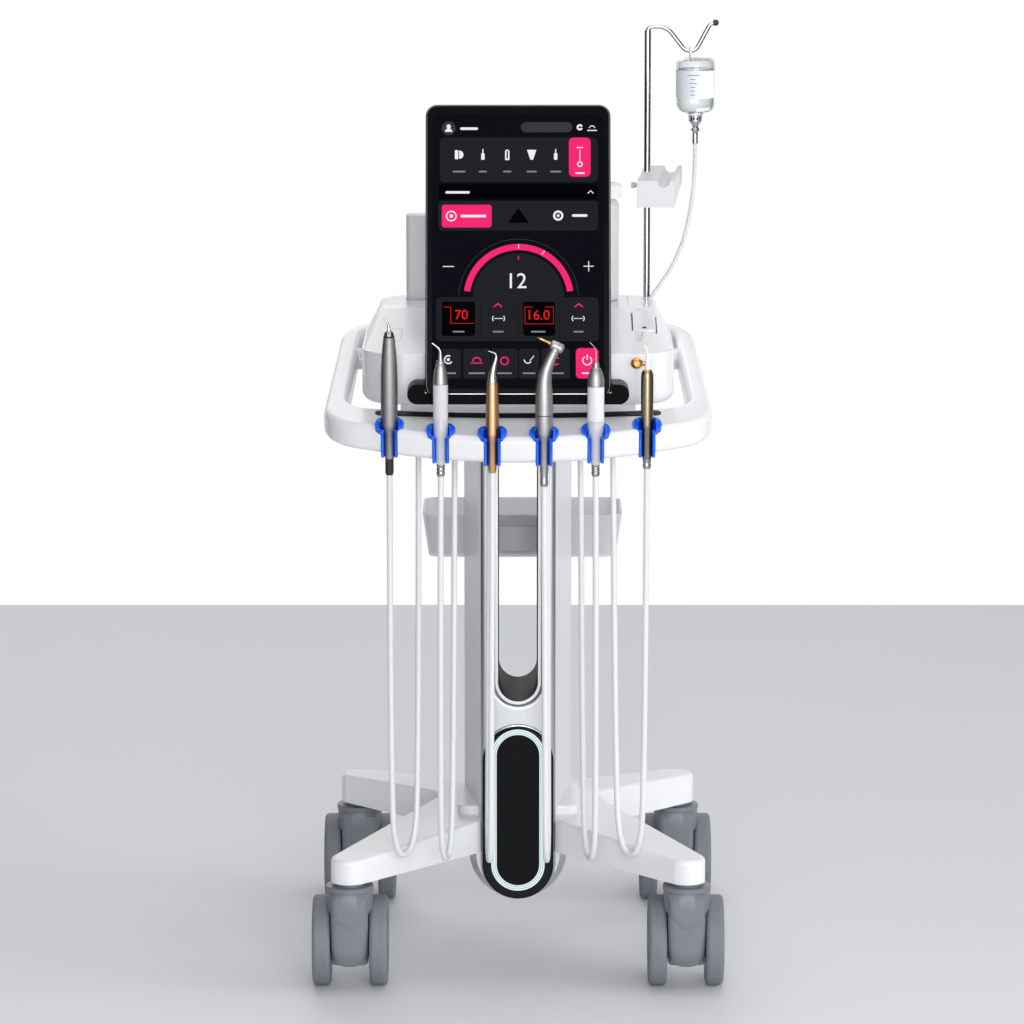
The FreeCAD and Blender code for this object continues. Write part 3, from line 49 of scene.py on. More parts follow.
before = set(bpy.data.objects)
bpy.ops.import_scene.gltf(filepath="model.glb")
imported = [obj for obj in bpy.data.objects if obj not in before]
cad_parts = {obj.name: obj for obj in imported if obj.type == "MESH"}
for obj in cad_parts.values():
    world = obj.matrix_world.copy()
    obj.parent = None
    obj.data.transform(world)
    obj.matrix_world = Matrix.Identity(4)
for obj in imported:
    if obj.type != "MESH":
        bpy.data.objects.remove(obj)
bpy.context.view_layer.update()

MM = 0.001
DOWN = Vector((0, 0, -1))
RIGHT = Vector((1, 0, 0))
BACK = Vector((0, 1, 0))
# A height over the whole cart, in millimetres
ABOVE = 1200

# Handpieces: height of the plug's lower end from the deck, and where the hose goes back into the pan
PLUGS = {"scaler": (-54, -110), "syringe": (-49, -70), "plugger": (-42, -31),
         "contra": (-57, 32), "injector": (-49, 69), "laser": (-47, 105)}
HOSE_GAP = 0.2
HOSE_END_Y = -100
HOSE_END_Z = 590
# The two low points of each hanging hose
LOOPS = {
    "scaler": ((-140, -200, 146), (-110, -168, 148)),
    "syringe": ((-86, -208, 142), (-72, -162, 144)),
    "plugger": ((-30, -214, 141), (-34, -161, 143)),
    "contra": ((30, -214, 141), (34, -161, 143)),
    "injector": ((86, -208, 142), (72, -162, 144)),
    "laser": ((139, -200, 146), (108, -168, 148)),
}
LOOP_RISE = 0.07
LOOP_PINCH = 0.2
# A way out of the front and a little up; each hose works out a point along it, which nothing uses
HOSE_SLANT = math.radians(7)
DRIP_ROUTE = ((200, 78, 905.8), (200, 78, 872), (196, 76, 834), (188, 72, 797),
              (174, 66, 766), (158, 59, 744), (146, 56, 728))

# Display: the hinge line of the screen, its lean and the height of its face above the hinge plane
HINGE_Y = -152
HINGE_Z = 658
SCREEN_LEAN = math.radians(17)
SCREEN_FACE = 6

# Drip bottle and rear bottle
DRIP_X = 200
POLE_Y = 78
BOTTLE_LOW = 938
HOOK = (194, 78, 1008.65)
JAR_X = 88
JAR_Y = 58
HOOD_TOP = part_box("housing_hood")[1].z / MM

# Places on the cart that a finish tells apart, in metres
BOWL_TOP = 0.13
AXLE_Y = 0.185
AXLE_Z = 0.05
HUB_RADIUS = 0.0335
SCOOP_TOP = 0.288
SLOT_Z = 0.439
SLOT_RUN = 0.1205
SLOT_RADIUS = 0.0221
HALO_Z = 0.173
HALO_RUN = 0.063
HALO_RADIUS = 0.0268
HALO_CELL = 0.0022
STRAND = 0.001
PIXEL = 0.0004


def linear(code):
    """Linear colour of a hexadecimal display colour."""
    parts = [int(code[i:i + 2], 16) / 255 for i in (0, 2, 4)]
    return tuple(p / 12.92 if p <= 0.04045 else ((p + 0.055) / 1.055) ** 2.4 for p in parts)


def paint(name, description, code):
    """Colour setting, from a hexadecimal display colour."""
    return bpy.props.FloatVectorProperty(name=name, description=description, subtype="COLOR", size=3,
                                         min=0.0, max=1.0, default=linear(code))


def measure(name, description, default):
    """Length setting in metres."""
    return bpy.props.FloatProperty(name=name, description=description, unit="LENGTH", default=default,
                                   min=0.0001)


def power(name, description, default):
    """Lamp setting in watts."""
    return bpy.props.FloatProperty(name=name, description=description, unit="POWER", default=default, min=0.0)


class CartColours(bpy.types.PropertyGroup):
    """Colours of the cart and of its display."""

    shell: paint("Shell", "Glossy white of base, ring and housing", "eceef1")
    column: paint("Column", "Grey flanks of the column", "e2e3e6")
    silver: paint("Silver", "Silver front of the column", "c4c7cb")
    caster: paint("Casters", "Slate grey of yokes and wheels", "797d85")
    clip: paint("Clips", "Blue of the handpiece clips", "0668fa")
    hose: paint("Hoses", "Pale grey of the hoses", "e6e6e8")
    copper: paint("Copper", "Body of the third handpiece", "dda67e")
    champagne: paint("Champagne", "Body of the sixth handpiece", "968b74")
    brass: paint("Brass", "Flow valve", "d6a263")
    halo: paint("Light ring", "Tinted bands of the light ring", "7fb4b6")
    accent: paint("Accent", "Buttons and dial of the display", "fb2b76")
    digits: paint("Digits", "Small numbers of the display", "f01e28")
    label: paint("Label", "Blank label of the drip bottle", "eef4f9")
    floor: paint("Floor", "Studio floor", "e6e7ec")


class CartSizes(bpy.types.PropertyGroup):
    """Sizes of the pieces that aren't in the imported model."""

    hose: measure("Hose", "Diameter of a handpiece hose", 0.0065)
    drip: measure("Drip tube", "Diameter of the drip tube", 0.0045)
    seam: measure("Seam", "Width of a panel gap", 0.0007)
    fill: bpy.props.FloatProperty(name="Fill", description="Share of the drip bottle that holds liquid",
                                  subtype="FACTOR", default=0.8, min=0.1, max=0.9)


class CartStage(bpy.types.PropertyGroup):
    """Light and camera of the stage."""

    ambient: bpy.props.FloatProperty(name="Ambient", description="Light from all round", default=0.37,
                                     min=0.0)
    key: power("Key", "Power of the main lamp", 44.0)
    fill: power("Fill", "Power of the front lamp", 50.0)
    side: power("Side", "Power of the right lamp", 37.0)
    top: power("Top", "Power of the overhead lamp", 18.0)
    back: power("Back", "Power of the rear lamp", 13.0)
    lens: bpy.props.FloatProperty(name="Lens", description="Focal length in millimetres", unit="CAMERA",
                                  default=173.3)


# Finishes

class Shade:
    """A socket of a node tree. Arithmetic on it adds Math nodes."""

    def __init__(self, tree, socket):
        self.tree = tree
        self.socket = socket

    def math(self, operation, first, second=0.0):
        return self.tree.node("ShaderNodeMath", {"operation": operation}, {0: first, 1: second})

    def __add__(self, other):
        return self.math("ADD", self, other)

    def __radd__(self, other):
        return self.math("ADD", other, self)

    def __sub__(self, other):
        return self.math("SUBTRACT", self, other)

    def __rsub__(self, other):
        return self.math("SUBTRACT", other, self)

    def __mul__(self, other):
        return self.math("MULTIPLY", self, other)

    def __rmul__(self, other):
        return self.math("MULTIPLY", other, self)

    def __truediv__(self, other):
        return self.math("DIVIDE", self, other)

    def __rtruediv__(self, other):
        return self.math("DIVIDE", other, self)

    def __gt__(self, other):
        return self.math("GREATER_THAN", self, other)

    def __lt__(self, other):
        return self.math("LESS_THAN", self, other)

    def __mod__(self, other):
        return self.math("FLOORED_MODULO", self, other)

    def __rmod__(self, other):
        return self.math("FLOORED_MODULO", other, self)

    def __abs__(self):
        return self.math("ABSOLUTE", self)

    def __floor__(self):
        return self.math("FLOOR", self)

    def at_least(self, other):
        return self.math("MAXIMUM", self, other)


class Tree:
    """Nodes of a material or of the surroundings."""

    def __init__(self, owner):
        owner.use_nodes = True
        self.nodes = owner.node_tree.nodes
        self.links = owner.node_tree.links

    def feed(self, socket, value):
        if isinstance(value, Shade):
            self.links.new(value.socket, socket)
        elif socket.type == "RGBA":
            socket.default_value = (*value[:3], 1.0)
        else:
            socket.default_value = value

    def node(self, kind, settings=None, sockets=None, output=0):
        """A node of this kind, its settings first and then the values or links of its sockets."""
        made = self.nodes.new(kind)
        for name, value in (settings or {}).items():
            setattr(made, name, value)
        for name, value in (sockets or {}).items():
            self.feed(made.inputs[name], value)
        return Shade(self, made.outputs[output])


class Finish(Tree):
    """One procedural material: a node tree around its surface shader."""

    def __init__(self):
        self.material = bpy.data.materials.new("finish")
        super().__init__(self.material)
        self.shader = self.nodes["Principled BSDF"]

    def surface(self, sockets):
        for name, value in sockets.items():
            self.feed(self.shader.inputs[name], value)

    def spot(self, stretch=(1, 1, 1)):
        """Place on the piece in the cart's rest frame, stretched along each axis."""
        here = self.node("ShaderNodeTexCoord", output="Object")
        return self.node("ShaderNodeVectorMath", {"operation": "MULTIPLY"}, {0: here, 1: stretch})

    def axes(self):
        split = self.node("ShaderNodeSeparateXYZ", sockets={0: self.spot()}).socket.node
        return [Shade(self, output) for output in split.outputs]

    def noise(self, scale, detail, stretch=(1, 1, 1)):
        return self.node("ShaderNodeTexNoise", sockets={"Vector": self.spot(stretch), "Scale": scale,
                                                        "Detail": detail})

    def length(self, first, second):
        joined = self.node("ShaderNodeCombineXYZ", sockets={0: first, 1: second})
        return self.node("ShaderNodeVectorMath", {"operation": "LENGTH"}, {0: joined}, output=1)

    def ease(self, value, low, high):
        """0 below low, 1 above high, and smooth between."""
        return self.node("ShaderNodeMapRange", {"interpolation_type": "SMOOTHSTEP"},
                         {"Value": value, "From Min": low, "From Max": high})

    def tint(self, factor, first, second):
        return self.node("ShaderNodeMix", {"data_type": "RGBA"}, {0: factor, 6: first, 7: second}, output=2)

    def bump(self, height, depth):
        return self.node("ShaderNodeBump", sockets={"Height": height, "Distance": depth})


def darker(colour, share):
    """Colour with a share of its light."""
    return tuple(part * share for part in colour)


def moulded(colour, rough, peel=0.00002, mottle=0.965, coat=0.0, metal=0.0, gleam=0.5):
    """Moulded plastic or paint: a little mottled, wiped smooth in places, with a fine skin."""
    made = Finish()
    cloud = made.noise(7, 3)
    wiped = made.noise(38, 4)
    skin = made.noise(900, 2)
    made.surface({"Base Color": made.tint(cloud, colour, darker(colour, mottle)),
                  "Roughness": rough - 0.06 + 0.12 * wiped,
                  "Normal": made.bump(skin, peel), "Coat Weight": coat, "Coat Roughness": 0.08,
                  "Metallic": metal, "Specular IOR Level": gleam})
    return made


def turned(colour, rough, stretch, depth=0.00001):
    """Metal with fine tool or brush lines across the stretched axis."""
    made = Finish()
    lines = made.noise(900, 2, stretch)
    cloud = made.noise(25, 3)
    made.surface({"Base Color": made.tint(lines, colour, darker(colour, 0.86)), "Metallic": 1.0,
                  "Roughness": rough - 0.05 + 0.1 * lines + 0.06 * cloud,
                  "Normal": made.bump(lines, depth)})
    return made


def studio(colour):
    """Floor paint with painted light: lighter towards the front, where the lamps stand."""
    made = Finish()
    cloud = made.noise(3, 3)
    skin = made.noise(120, 2)
    # Painted light: the colour brightens towards the front, for the light falling off towards the back
    back = made.ease(made.axes()[1], -1.1, 0.2)
    made.surface({"Base Color": made.tint(back, linear("f6f7fb"), colour), "Roughness": 0.5 + 0.1 * cloud,
                  "Specular IOR Level": 0.3, "Normal": made.bump(skin, 0.0001)})
    return made


def column_coat(colour, silver):
    """Grey paint of the flanks, and bare silver on the bowl under the base."""
    made = Finish()
    bare = 1 - made.ease(made.axes()[2], BOWL_TOP, BOWL_TOP + 0.005)
    cloud = made.noise(7, 3)
    wiped = made.noise(38, 4)
    skin = made.noise(900, 2)
    coat = made.tint(cloud, colour, darker(colour, 0.94))
    made.surface({"Base Color": made.tint(bare, coat, silver), "Metallic": bare,
                  "Roughness": 0.3 - 0.1 * bare + 0.12 * wiped, "Normal": made.bump(skin, 0.00003)})
    return made


def tread(colour):
    """Wheel pair: worn rubber round a smoother hub, told apart by the distance from the axle."""
    made = Finish()
    _, y, z = made.axes()
    rubber = made.ease(made.length(abs(y) - AXLE_Y, z - AXLE_Z), HUB_RADIUS, HUB_RADIUS + 0.001)
    dust = made.noise(45, 5)
    skin = made.noise(1400, 2)
    worn = made.tint(dust, darker(colour, 0.86), darker(colour, 1.04))
    made.surface({"Base Color": made.tint(rubber, colour, worn),
                  "Roughness": 0.36 + 0.22 * rubber + 0.1 * dust, "Normal": made.bump(skin, 0.00003)})
    return made


def liner(silver):
    """Lining of the slot: black walls, a scoop at its foot painted lighter as a painted sheen, and a silver
    rim.
    """
    made = Finish()
    x, _, height = made.axes()
    skin = made.noise(900, 2)
    # Painted sheen: the scoop at the slot's foot is painted lighter than the walls, for the light on its
    # upturned surface
    scoop = 1 - made.ease(height, SCOOP_TOP, SCOOP_TOP + 0.03)
    wall = made.tint(scoop, linear("0d0e10"), linear("202429"))
    away = made.length(x, (abs(height - SLOT_Z) - SLOT_RUN).at_least(0.0))
    rim = made.ease(away, SLOT_RADIUS, SLOT_RADIUS + 0.0005)
    made.surface({"Base Color": made.tint(rim, wall, silver), "Metallic": rim,
                  "Roughness": 0.42 - 0.1 * scoop + 0.06 * skin, "Specular IOR Level": 0.02,
                  "Normal": made.bump(skin, 0.00003)})
    return made


def gloss_black(rough, gleam):
    """Black acrylic or glass with faint finger smears."""
    made = Finish()
    smear = made.ease(made.noise(22, 4, (1, 1, 0.5)), 0.45, 0.8)
    speck = made.noise(500, 2)
    made.surface({"Base Color": made.tint(speck, (0.003, 0.003, 0.004), (0.005, 0.005, 0.007)),
                  "Roughness": rough + 0.14 * smear, "Specular IOR Level": gleam,
                  "Normal": made.bump(speck, 0.000002)})
    return made


def carbon():
    """Black twill weave: strands 1 mm wide that pass over two and under two, the strands on top painted
    lighter at their crowns as a painted sheen.
    """
    made = Finish()
    x, _, z = made.axes()
    across, along = x / STRAND, z / STRAND
    over = ((math.floor(across) + math.floor(along)) % 4.0) < 1.5
    hill_x = 1 - abs((across % 1.0) - 0.5) * 2
    hill_z = 1 - abs((along % 1.0) - 0.5) * 2
    height = over * hill_x + (1 - over) * hill_z
    # Painted sheen: the top strands get a lighter colour towards their crowns
    made.surface({"Base Color": made.tint(over * height, (0.002, 0.002, 0.003), (0.009, 0.01, 0.012)),
                  "Roughness": 0.5 - 0.2 * over, "Specular IOR Level": 0.1,
                  "Normal": made.bump(height, 0.0001)})
    return made


def halo_glow(colour):
    """Lit diffuser of the light ring: a white middle between two tinted bands with fine segment lines."""
    made = Finish()
    x, _, z = made.axes()
    away = made.length(x, (abs(z - HALO_Z) - HALO_RUN).at_least(0.0))
    from_middle = abs(away - HALO_RADIUS)
    tinted = made.ease(from_middle, 0.0005, 0.0009) * (1 - made.ease(from_middle, 0.0015, 0.002))
    cell = made.ease(abs(((x + z) / HALO_CELL) % 1.0 - 0.5), 0.3, 0.5)
    band = made.tint(tinted, (0.86, 0.95, 0.95), colour)
    made.surface({"Base Color": (0.3, 0.36, 0.36), "Roughness": 0.3, "Emission Strength": 0.6,
                  "Emission Color": made.tint(cell * tinted * 0.6, band, darker(colour, 0.4))})
    return made


def lit(colour):
    """Part of the display picture, with the fine raster of its pixels."""
    made = Finish()
    x, _, z = made.axes()
    raster = abs((x / PIXEL) % 1.0 - 0.5) * abs((z / PIXEL) % 1.0 - 0.5)
    made.surface({"Base Color": darker(colour, 0.03), "Roughness": 0.2, "Specular IOR Level": 0.0,
                  "Emission Color": made.tint(raster, colour, darker(colour, 0.8)),
                  "Emission Strength": 0.95})
    return made


def clear(colour, rough, ior, edge_shade):
    """Clear glass or liquid with painted shade: greyer where the wall is seen edge on."""
    made = Finish()
    ripple = made.noise(60, 3)
    # Painted shade: the colour darkens towards the edges seen edge on
    edge = made.node("ShaderNodeLayerWeight", sockets={"Blend": 0.3}, output="Facing")
    made.surface({"Base Color": made.tint(edge, colour, darker(colour, edge_shade)),
                  "Roughness": rough + 0.02 * ripple, "IOR": ior, "Transmission Weight": 1.0})
    return made


def frosted(colour, through, cover=1.0):
    """Milky plastic that lets part of the light through, blurred, and part of it straight."""
    made = Finish()
    cloud = made.noise(18, 4)
    skin = made.noise(1200, 2)
    made.surface({"Base Color": made.tint(cloud, colour, darker(colour, 0.93)),
                  "Roughness": 0.3 + 0.2 * cloud, "Transmission Weight": through, "IOR": 1.4, "Alpha": cover,
                  "Normal": made.bump(skin, 0.00003)})
    return made


ROUND_LINES = (0.02, 0.02, 1)
UPRIGHT_LINES = (1, 1, 0.015)
FINISHES = {
    "shell": lambda c: moulded(c.shell, 0.24, coat=0.1, gleam=0.35),
    "matt_white": lambda c: moulded(c.shell, 0.42, 0.00004, gleam=0.35),
    "column_grey": lambda c: column_coat(c.column, c.silver),
    "column_silver": lambda c: turned(c.silver, 0.33, UPRIGHT_LINES),
    "liner_black": lambda c: liner(c.silver),
    "bezel_black": lambda c: gloss_black(0.12, 0.2),
    "halo": lambda c: halo_glow(c.halo),
    "carbon": lambda c: carbon(),
    "caster_grey": lambda c: moulded(c.caster, 0.42, 0.00005, mottle=0.9),
    "tread": lambda c: tread(c.caster),
    "steel": lambda c: turned((0.56, 0.57, 0.59), 0.26, ROUND_LINES),
    "chrome": lambda c: turned((0.52, 0.53, 0.55), 0.1, ROUND_LINES, 0.000002),
    "clip_blue": lambda c: moulded(c.clip, 0.3, mottle=0.85),
    "strip_rubber": lambda c: moulded(linear("0c0d0f"), 0.4, 0.00005, gleam=0.2),
    "hose_silicone": lambda c: moulded(c.hose, 0.36, 0.00003, mottle=0.93, coat=0.1),
    "satin_silver": lambda c: turned((0.43, 0.43, 0.44), 0.42, ROUND_LINES),
    "satin_grey": lambda c: turned((0.34, 0.34, 0.345), 0.5, ROUND_LINES),
    "polished_steel": lambda c: turned((0.52, 0.52, 0.53), 0.16, ROUND_LINES, 0.000003),
    "white_ceramic": lambda c: moulded(linear("e9eaee"), 0.24, coat=0.3),
    "soft_white": lambda c: moulded(linear("d9dade"), 0.34, 0.00003),
    "pale_grey": lambda c: moulded(linear("c9cbd1"), 0.34, 0.00003),
    "connector_grey": lambda c: turned((0.42, 0.43, 0.45), 0.34, ROUND_LINES),
    "boot_black": lambda c: moulded(linear("1d1e21"), 0.5, 0.00005),
    "copper": lambda c: turned(c.copper, 0.3, ROUND_LINES),
    "gold": lambda c: turned(linear("d9b36c"), 0.28, ROUND_LINES),
    "champagne": lambda c: turned(c.champagne, 0.22, ROUND_LINES),
    "brass": lambda c: turned(c.brass, 0.3, (1, 0.05, 1)),
    "tip_white": lambda c: moulded(linear("eef0f2"), 0.25),
    "case_edge": lambda c: turned(linear("5f6166"), 0.3, UPRIGHT_LINES),
    "glass_black": lambda c: gloss_black(0.1, 0.04),
    "cradle_black": lambda c: gloss_black(0.24, 0.02),
    "socket_black": lambda c: moulded(linear("26272b"), 0.45, 0.00006),
    "unit_grey": lambda c: moulded(linear("8d9095"), 0.4, metal=0.6),
    "bin_smoke": lambda c: frosted(linear("d6d8dd"), 0.0, 0.56),
    "tank_frost": lambda c: frosted(linear("e3e4e7"), 0.35),
    "glass": lambda c: clear((0.93, 0.95, 0.96), 0.02, 1.25, 0.3),
    "liquid": lambda c: clear((0.94, 0.96, 0.97), 0.0, 1.33, 0.45),
    "jar_milk": lambda c: frosted(linear("f4f5f7"), 0.3),
    "tube_clear": lambda c: frosted(linear("eef0f2"), 0.3),
    "label": lambda c: moulded(c.label, 0.55, 0.00004, mottle=0.95),
    "mark_grey": lambda c: moulded(linear("6f757d"), 0.5),
    # Painted shade of the lid gaps
    "seam_grey": lambda c: moulded(linear("b4b7bc"), 0.6),
    # Painted shade of the door slits, and the dark latch
    "seam_black": lambda c: moulded(linear("33353a"), 0.6),
    "board_black": lambda c: moulded(linear("2c2d30"), 0.8),
    "floor": lambda c: studio(c.floor),
    "outlet_cream": lambda c: moulded(linear("e2d5a8"), 0.35),
    "ui_back": lambda c: lit(linear("101118")),
    "ui_panel": lambda c: lit(linear("232428")),
    "ui_field": lambda c: lit(linear("3a3b3f")),
    "ui_dark": lambda c: lit(linear("060608")),
    "ui_accent": lambda c: lit(c.accent),
    "ui_digits": lambda c: lit(c.digits),
    "ui_white": lambda c: lit(linear("f4f4f6")),
    "ui_grey": lambda c: lit(linear("86878c")),
}


def finish(name):
    """The material of that name, made when it is first asked for."""
    found = bpy.data.materials.get("finish_" + name)
    if found is None:
        found = FINISHES[name](bpy.context.scene.cart_colours).material
        found.name = "finish_" + name
    return found


def dress(**looks):
    """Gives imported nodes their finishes."""
    for node, name in looks.items():
        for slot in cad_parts[node].material_slots:
            slot.material = finish(name)


# Shapes

def smooth_line(points, detail=12):
    """Points read from a smooth spline with these control points."""
    data = bpy.data.curves.new("line", "CURVE")
    data.dimensions = "3D"
    data.resolution_u = detail
    spline = data.splines.new("NURBS")
    spline.points.add(len(points) - 1)
    for made, point in zip(spline.points, points):
        made.co = (*point, 1.0)
    spline.order_u = 3
    spline.use_endpoint_u = True
    carrier = bpy.data.objects.new("line", data)
    mesh = bpy.data.meshes.new_from_object(carrier)
    line = [vertex.co.copy() for vertex in mesh.vertices]
    bpy.data.objects.remove(carrier)
    bpy.data.curves.remove(data)
    bpy.data.meshes.remove(mesh)
    return line


def millimetres(*values):
    """Vector in metres, from millimetres."""
    return Vector(value * MM for value in values)


def move(x, y, z):
    """Placement at a spot in millimetres."""
    return Matrix.Translation(millimetres(x, y, z))


def facing(spot, way):
    """Placement whose own Z points along a way."""
    return Matrix.Translation(spot) @ way.to_track_quat("Z", "Y").to_matrix().to_4x4()


def rounded(left, low, right, high, radius, steps=6):
    """Corner points of a rectangle with round corners."""
    radius = min(radius, (right - left) / 2, (high - low) / 2)
    outline = []
    corners = ((right - radius, high - radius), (left + radius, high - radius),
               (left + radius, low + radius), (right - radius, low + radius))
    for quarter, (x, y) in enumerate(corners):
        for step in range(steps + 1):
            angle = math.pi / 2 * (quarter + step / steps)
            outline.append((x + radius * math.cos(angle), y + radius * math.sin(angle)))
    return outline


def circle(radius, sides):
    """Points of a circle."""
    angles = [math.tau * i / sides for i in range(sides)]
    return [(radius * math.cos(a), radius * math.sin(a)) for a in angles]


def bow(x, y, inner, outer, start, stop, count=40):
    """Outline of a piece of a ring between two angles in degrees."""
    angles = [math.radians(start + (stop - start) * i / count) for i in range(count + 1)]
    return ([(x + outer * math.cos(a), y + outer * math.sin(a)) for a in angles]
            + [(x + inner * math.cos(a), y + inner * math.sin(a)) for a in reversed(angles)])


def ring(x, y, inner, outer):
    """Outline of a ring, with a slit too narrow to see."""
    return bow(x, y, inner, outer, 0, 359.6)


def dot(x, y, radius):
    """Outline of a round dot."""
    return rounded(x - radius, y - radius, x + radius, y + radius, radius)


def bar(x0, y0, x1, y1, width):
    """Outline of a straight stroke."""
    way = Vector((x1 - x0, y1 - y0)).normalized() * width / 2
    side = Vector((-way.y, way.x))
    start, stop = Vector((x0, y0)) - way, Vector((x1, y1)) + way
    return [tuple(start - side), tuple(stop - side), tuple(stop + side), tuple(start + side)]


SEAM_DEEP = 0.0008


class Form:
    """Points and faces of one piece, gathered from closed shapes in millimetres or metres."""

    def __init__(self):
        self.points = []
        self.faces = []
        self.looks = []

    def add(self, points, faces, looks):
        start = len(self.points)
        self.points += [tuple(point) for point in points]
        self.faces += [[start + index for index in face] for face in faces]
        self.looks += looks

    def loft(self, loops, look=0, closed=False):
        """Skin over loops of as many points, with its ends capped or, where closed, joined to each other."""
        total, count = len(loops), len(loops[0])
        faces = []
        for level in range(total if closed else total - 1):
            here, there = level * count, (level + 1) % total * count
            faces += [[here + i, here + (i + 1) % count, there + (i + 1) % count, there + i]
                      for i in range(count)]
        if not closed:
            faces += [list(range(count))[::-1], list(range((total - 1) * count, total * count))]
        self.add([point for loop in loops for point in loop], faces, [look] * len(faces))

    def turn(self, rows, place, sides=48):
        """Body of revolution about its own Z, from rows of radius, height and, where it isn't 0, look."""
        rings, points, faces, looks = [], [], [], []
        shown = [row[2] if len(row) > 2 else 0 for row in rows]
        for radius, height, *_ in rows:
            count = sides if radius > 0 else 1
            rings.append(range(len(points), len(points) + count))
            points += [place @ millimetres(x, y, height) for x, y in circle(radius, sides)[:count]]
        for first, second, look in zip(rings, rings[1:], shown):
            for i in range(sides):
                j = (i + 1) % sides
                corners = [first[i % len(first)], first[j % len(first)], second[j % len(second)],
                           second[i % len(second)]]
                faces.append(list(dict.fromkeys(corners)))
                looks.append(look)
        for end in (0, -1):
            if len(rings[end]) > 1:
                faces.append(list(rings[end]))
                looks.append(shown[end])
        self.add(points, faces, looks)

    def sweep(self, line, radii, sides, closed=False):
        """Round tube along a line in metres, with one radius for all of it or one for each point."""
        count = len(line)
        if not isinstance(radii, (list, tuple)):
            radii = [radii] * count
        ways = [(line[(i + 1) % count] - line[i - 1]) if closed
                else (line[min(i + 1, count - 1)] - line[max(i - 1, 0)]) for i in range(count)]
        side = ways[0].orthogonal().normalized()
        around = circle(1, sides)
        loops = []
        for spot, way, radius in zip(line, ways, radii):
            way = way.normalized()
            side = (side - way * side.dot(way)).normalized()
            other = way.cross(side)
            loops.append([spot + (side * x + other * y) * radius for x, y in around])
        self.loft(loops, closed=closed)

    def slab(self, outline, low, high, place, look=0):
        """Plate of an outline in millimetres."""
        self.loft([[place @ millimetres(x, y, z) for x, y in outline] for z in (high, low)], look)

    def teeth(self, count, radius, outline, low, high, place):
        """Plates of one outline set all round a body of revolution."""
        for i in range(count):
            around = Matrix.Rotation(math.tau * i / count, 4, "Z")
            self.slab(outline, low, high, place @ around @ move(radius, 0, 0))

    def seam(self, spots, width, closed=True, proud=0.00006):
        """Narrow strip let into a surface along spots, each a point and the surface's direction."""
        count = len(spots)
        loops = []
        for i, (spot, normal) in enumerate(spots):
            after = spots[(i + 1) % count if closed else min(i + 1, count - 1)][0]
            before = spots[i - 1 if closed else max(i - 1, 0)][0]
            side = normal.cross(after - before).normalized() * width / 2
            loops.append([spot - side - normal * SEAM_DEEP, spot - side + normal * proud,
                          spot + side + normal * proud, spot + side - normal * SEAM_DEEP])
        self.loft(loops, closed=closed)

    def words(self, text, x, y, height, low, high, place, look=0):
        """Digits of a plain built-in typeface, centred on a point."""
        data = bpy.data.curves.new("digits", "FONT")
        data.body = text
        half = 0.5
        data.extrude = half
        carrier = bpy.data.objects.new("digits", data)
        mesh = bpy.data.meshes.new_from_object(carrier)
        spots = [vertex.co.copy() for vertex in mesh.vertices]
        lows = [min(spot[k] for spot in spots) for k in range(3)]
        highs = [max(spot[k] for spot in spots) for k in range(3)]
        scale = height / (highs[1] - lows[1])
        points = [place @ millimetres(x + (spot.x - (lows[0] + highs[0]) / 2) * scale,
                                      y + (spot.y - (lows[1] + highs[1]) / 2) * scale,
                                      low + (spot.z + half) * (high - low)) for spot in spots]
        faces = [list(face.vertices) for face in mesh.polygons]
        self.add(points, faces, [look] * len(faces))
        bpy.data.objects.remove(carrier)
        bpy.data.curves.remove(data)
        bpy.data.meshes.remove(mesh)

    def piece(self, name, finishes, body=None, replaces=(), crease=32):
        """The shown piece. It rides on a body where one is given."""
        mesh = bpy.data.meshes.new(name)
        mesh.from_pydata(self.points, [], self.faces)
        for each in finishes:
            mesh.materials.append(finish(each))
        mesh.polygons.foreach_set("material_index", self.looks)
        shape = bmesh.new()
        shape.from_mesh(mesh)
        bmesh.ops.remove_doubles(shape, verts=shape.verts, dist=1e-7)
        bmesh.ops.recalc_face_normals(shape, faces=shape.faces)
        shape.to_mesh(mesh)
        shape.free()
        mesh.shade_smooth()
        mesh.set_sharp_from_angle(angle=math.radians(crease))
        made = bpy.data.objects.new(name, mesh)
        bpy.context.scene.collection.objects.link(made)
        if body:
            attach(made, body)
        if replaces:
            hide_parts(*replaces)
        return made


def on_node(node, point, way):
    """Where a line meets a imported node, and the surface's direction there."""
    hit, spot, normal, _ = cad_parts[node].ray_cast(Vector(point), Vector(way))
    if not hit:
        raise RuntimeError(f"no surface of {node} under {tuple(point)}")
    return spot, normal


def straight_under(node, x, y):
    """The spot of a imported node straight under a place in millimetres."""
    return on_node(node, millimetres(x, y, ABOVE), DOWN)


# Operators

# Hub cap outwards from the wheel's flank, and collar of a yoke: rows of radius, height and any look
HUB_CAP = ((17, -4), (17, -2.6), (15.5, -1.8), (15.2, -2.6, 1), (13.4, -2.6, 1), (13.0, -1.6), (6, -0.9),
           (5.4, -1.5, 1), (4.6, -1.5, 1), (4.2, -0.7))
YOKE_COLLAR = ((16.5, 113.4), (25.7, 113.4), (26.3, 114), (26.3, 118.2), (25.7, 118.8), (16.5, 118.8))
# Front of a yoke: half its width, the radius of its skirt, its heights at the middle, and its depths
YOKE_HALF = 20.4
YOKE_SKIRT = 25.5
YOKE_TOP = 113.2
YOKE_SHOULDER = 108.6
YOKE_DIP = 78
YOKE_FOOT = 30
YOKE_FACE = -26
YOKE_INSIDE = -6
YOKE_COLUMNS = 32
FOOT_STEPS = 10


